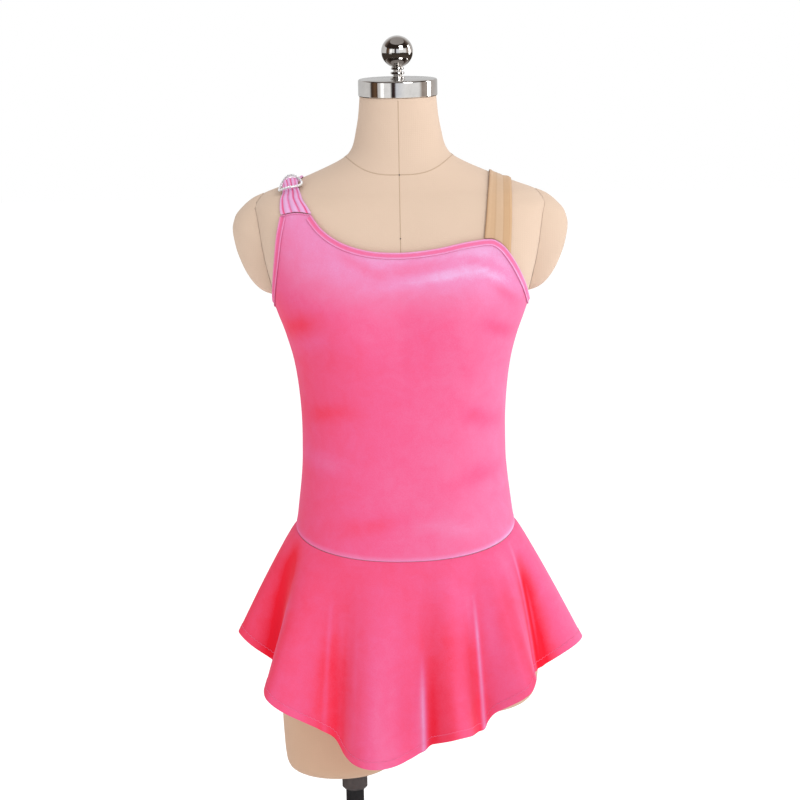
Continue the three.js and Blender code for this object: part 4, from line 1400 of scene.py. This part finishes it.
def metal(name, base, roughness, scratch_scale, metallic=1.0):
    """Metal whose polish is broken by fine hairlines and a little haze."""
    material, tree, shader, position = start_material(name, Metallic=metallic)
    haze = add(tree, "TexNoise", Scale=scratch_scale, Detail=4.0, Roughness=0.6)
    tree.links.new(position, haze.inputs["Vector"])
    rough = add(tree, "MapRange")
    tree.links.new(haze.outputs["Fac"], rough.inputs["Value"])
    rough.inputs["To Min"].default_value, rough.inputs["To Max"].default_value = roughness
    tree.links.new(rough.outputs[0], shader.inputs["Roughness"])
    darker = tuple(0.82 * c for c in base)
    tree.links.new(ramp(tree, haze.outputs["Fac"], (0.3, darker), (0.7, base)), shader.inputs["Base Color"])
    return material


velvet_cloth = velvet("pink velvet")
pink_thread = knitted("pink thread", (0.75, 0.19, 0.36), (0.70, 0.15, 0.30), 3000.0, 0.6, 0.1)
jersey = knitted("beige jersey", (0.625, 0.475, 0.37), (0.59, 0.445, 0.34), 900.0, 0.9, 0.1, shaded_thigh)
jersey_seam = knitted("beige seam", (0.5, 0.37, 0.27), (0.43, 0.31, 0.22), 900.0, 0.9, 0.1)
nude_mesh = knitted("skin mesh", (0.57, 0.395, 0.26), (0.52, 0.355, 0.225), 1400.0, 0.7, 0.2, doubled_edges_and_edge_shadow)
chrome = metal("polished chrome", (0.78, 0.76, 0.74), (0.04, 0.1), 60.0)
dark_steel = metal("black coated steel", (0.03, 0.03, 0.034), (0.35, 0.5), 200.0, 0.3)
grey_steel = metal("dark grey collar", (0.14, 0.12, 0.12), (0.3, 0.45), 120.0, 0.4)
stone_glass = metal("cut stones", (0.96, 0.96, 0.99), (0.05, 0.15), 300.0, 0.1)
silver = metal("bright cast silver", (0.88, 0.87, 0.88), (0.25, 0.4), 200.0, 0.6)

# %% [markdown]
# Dressing
#
# Each finished piece gets its finish and rides on the imported body, and the plain solid that it stands for,
# if any, is hidden.

# %% Finishing pieces
def dress(piece, material, slot, *nodes):
    piece.data.materials.clear()
    piece.data.materials.append(material)
    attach(piece, "root")
    if nodes:
        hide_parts(*nodes)


DRESSING = [
    (torso, jersey, "jersey", "form_torso"),
    (shoulder_caps[0], jersey, "jersey", "form_cap_right"),
    (shoulder_caps[1], jersey, "jersey", "form_cap_left"),
    (neck_seam, jersey_seam, "jersey"),
    (centre_seam, jersey_seam, "jersey"),
    (back_seam, jersey_seam, "jersey"),
    (pins, grey_steel, "chrome"),
    (neck_cap, chrome, "chrome", "neck_cap"),
    (finial, chrome, "chrome", "neck_finial"),
    (collar, grey_steel, "black_steel", "stand_collar"),
    (pole, dark_steel, "black_steel", "stand_pole"),
    (base, dark_steel, "black_steel", "stand_base"),
    (bodice_front, velvet_cloth, "velvet", "bodice_front"),
    (bodice_back, velvet_cloth, "velvet", "bodice_back"),
    (skirt_front, velvet_cloth, "velvet", "skirt_front"),
    (skirt_back, velvet_cloth, "velvet", "skirt_back"),
    (bands[0], velvet_cloth, "velvet", "band_armhole_front"),
    (bands[1], velvet_cloth, "velvet", "band_neck_front"),
    (bands[2], velvet_cloth, "velvet", "band_neck_back"),
    (bands[3], velvet_cloth, "velvet", "band_armhole_back"),
    (strap, velvet_cloth, "velvet", "strap_velvet"),
    (mesh_strap, nude_mesh, "mesh", "strap_mesh"),
    (ring, silver, "chrome", "strap_ring"),
    (stones, stone_glass, "chrome"),
    *[(thread, pink_thread, "velvet") for thread in strap_threads + hem_threads],
]
for row in DRESSING:
    dress(*row)
print("pieces dressed:", len(DRESSING))

# %% [markdown]
# How the pieces are cut
#
# A pattern cutter cuts each piece flat before sewing it. Stretch velvet is cut about a twentieth
# smaller than the body and stretched over it. Each skirt panel is cut as part of a ring, so its area is
# about half of the rectangle round it. The bands are narrow strips, folded over the edge, and the
# gathered strap is wider when it lies flat.

# %% [markdown]
# Studio
#
# The photograph was taken in a pale studio under large soft lights, a little above the dress and well
# back, so that its lines stay nearly parallel. Polished metal shows what stands round it, so in a mirror
# the world is a dark room with pale panels, while all else sees an even white one.

# %% The floor
bpy.ops.object.select_all(action="DESELECT")
bpy.ops.mesh.primitive_plane_add(size=18)
floor = bpy.context.active_object
floor.name = "studio_floor"
floor_material, tree, shader, _ = start_material("pale floor", Roughness=1.0, Specular_IOR_Level=0.0)
shader.inputs["Emission Color"].default_value = (1, 1, 1, 1)
mirrored = add(tree, "LightPath").outputs["Is Glossy Ray"]
shade = ramp(tree, mirrored, (0, (0.93, 0.93, 0.93)), (1, (0.06, 0.045, 0.035)))
tree.links.new(shade, shader.inputs["Base Color"])
glow = math_node(tree, "MULTIPLY", math_node(tree, "SUBTRACT", 1.0, mirrored), 0.25)
tree.links.new(glow, shader.inputs["Emission Strength"])
floor.data.materials.append(floor_material)

# %% [markdown]
# The room that the metal shows
#
# One ramp runs once round the compass. It sets pale panels and dark gaps at eye level, as the chrome cap
# shows them. Above and below them the room is dark, with a paler ceiling and a paler back wall. Only
# glossy rays see this room. The camera sees white, and all else a slightly dimmer white.

# %% World
world = bpy.data.worlds.new("studio")
bpy.context.scene.world = world
world.use_nodes = True
tree = world.node_tree
tree.nodes.clear()
around_us = add(tree, "SeparateXYZ")
tree.links.new(add(tree, "TexCoord").outputs["Generated"], around_us.inputs[0])
towards_camera = math_node(tree, "MULTIPLY", around_us.outputs["Y"], -1.0)
compass = math_node(tree, "ARCTAN2", around_us.outputs["X"], towards_camera)
compass = math_node(tree, "MULTIPLY_ADD", compass, 0.5 / math.pi, 0.5)
panels = ramp(
    tree, compass, (0, (0.6, 0.6, 0.6)), (0.25, (0.75, 0.74, 0.73)), (0.27, (0.05, 0.03, 0.02)),
    (0.31, (0.16, 0.09, 0.05)), (0.35, (0.02, 0.015, 0.015)), (0.365, (0.95, 0.95, 0.95)), (0.44, (1, 1, 1)),
    (0.452, (0.03, 0.02, 0.02)), (0.476, (0.05, 0.03, 0.03)), (0.488, (0.75, 0.78, 0.85)), (0.56, (1, 1, 1)),
    (0.68, (0.95, 0.95, 0.95)), (0.71, (0.36, 0.30, 0.26)), (0.8, (0.55, 0.5, 0.47)), (1, (0.6, 0.6, 0.6))
)
level_with_us = math_node(tree, "LESS_THAN", math_node(tree, "ABSOLUTE", around_us.outputs["Z"]), 0.35)
ceiling = math_node(tree, "MULTIPLY", math_node(tree, "GREATER_THAN", around_us.outputs["Z"], 0.8), 0.6)
far_wall = math_node(tree, "MULTIPLY", around_us.outputs["Y"], 1.1)
above_us = ramp(
    tree, math_node(tree, "MAXIMUM", ceiling, far_wall),
    (0, (0.03, 0.02, 0.016)), (0.4, (0.15, 0.11, 0.09)), (0.8, (0.55, 0.53, 0.52)), (1, (0.85, 0.85, 0.85))
)
in_mirrors = add(tree, "MixRGB")
tree.links.new(level_with_us, in_mirrors.inputs["Fac"])
tree.links.new(above_us, in_mirrors.inputs["Color1"])
tree.links.new(panels, in_mirrors.inputs["Color2"])
rays = add(tree, "LightPath")
plain = ramp(tree, rays.outputs["Is Camera Ray"], (0, (0.835, 0.835, 0.835)), (1, (1, 1, 1)))
light = add(tree, "MixRGB")
tree.links.new(rays.outputs["Is Glossy Ray"], light.inputs["Fac"])
tree.links.new(plain, light.inputs["Color1"])
tree.links.new(in_mirrors.outputs[0], light.inputs["Color2"])
background = add(tree, "Background")
tree.links.new(light.outputs[0], background.inputs["Color"])
tree.links.new(background.outputs[0], add(tree, "OutputWorld").inputs["Surface"])


# %% Lights and camera
LIGHTS_AIM = Vector((0.06, 0.0, 0.9))


def softbox(name, place, size, watts):
    """A soft rectangular lamp, aimed at the chest."""
    data = bpy.data.lights.new(name, "AREA")
    data.shape, data.energy = "RECTANGLE", watts
    data.size, data.size_y = size
    light = bpy.data.objects.new(name, data)
    bpy.context.scene.collection.objects.link(light)
    light.location = place
    light.rotation_euler = (LIGHTS_AIM - Vector(place)).to_track_quat("-Z", "Y").to_euler()


softbox("key", (1.6, -2.4, 2.9), (1.4, 1.4), 48)
softbox("fill", (-2.6, -2.2, 1.3), (1.2, 2.0), 5)
softbox("rim", (2.6, 0.6, 1.5), (0.6, 2.0), 20)

bpy.context.scene.view_settings.view_transform = "Standard"  # dyes keep their full strength

camera_data = bpy.data.cameras.new("camera")
camera_data.lens, camera_data.sensor_width = 120, 36
camera = bpy.data.objects.new("camera", camera_data)
bpy.context.scene.collection.objects.link(camera)
DISTANCE, PITCH, TILT = 3.2, math.radians(11), 0.018
AIM = Vector((0.0641, 0.0, 0.8))
camera.location = AIM + Vector((0, -DISTANCE * math.cos(PITCH), DISTANCE * math.sin(PITCH)))
camera.rotation_euler = (
    Matrix.Rotation(math.pi / 2 - PITCH, 4, "X") @ Matrix.Rotation(-TILT, 4, "Z")
).to_euler()
bpy.context.scene.camera = camera
print("camera stands", round(camera.location.z, 3), "m high")
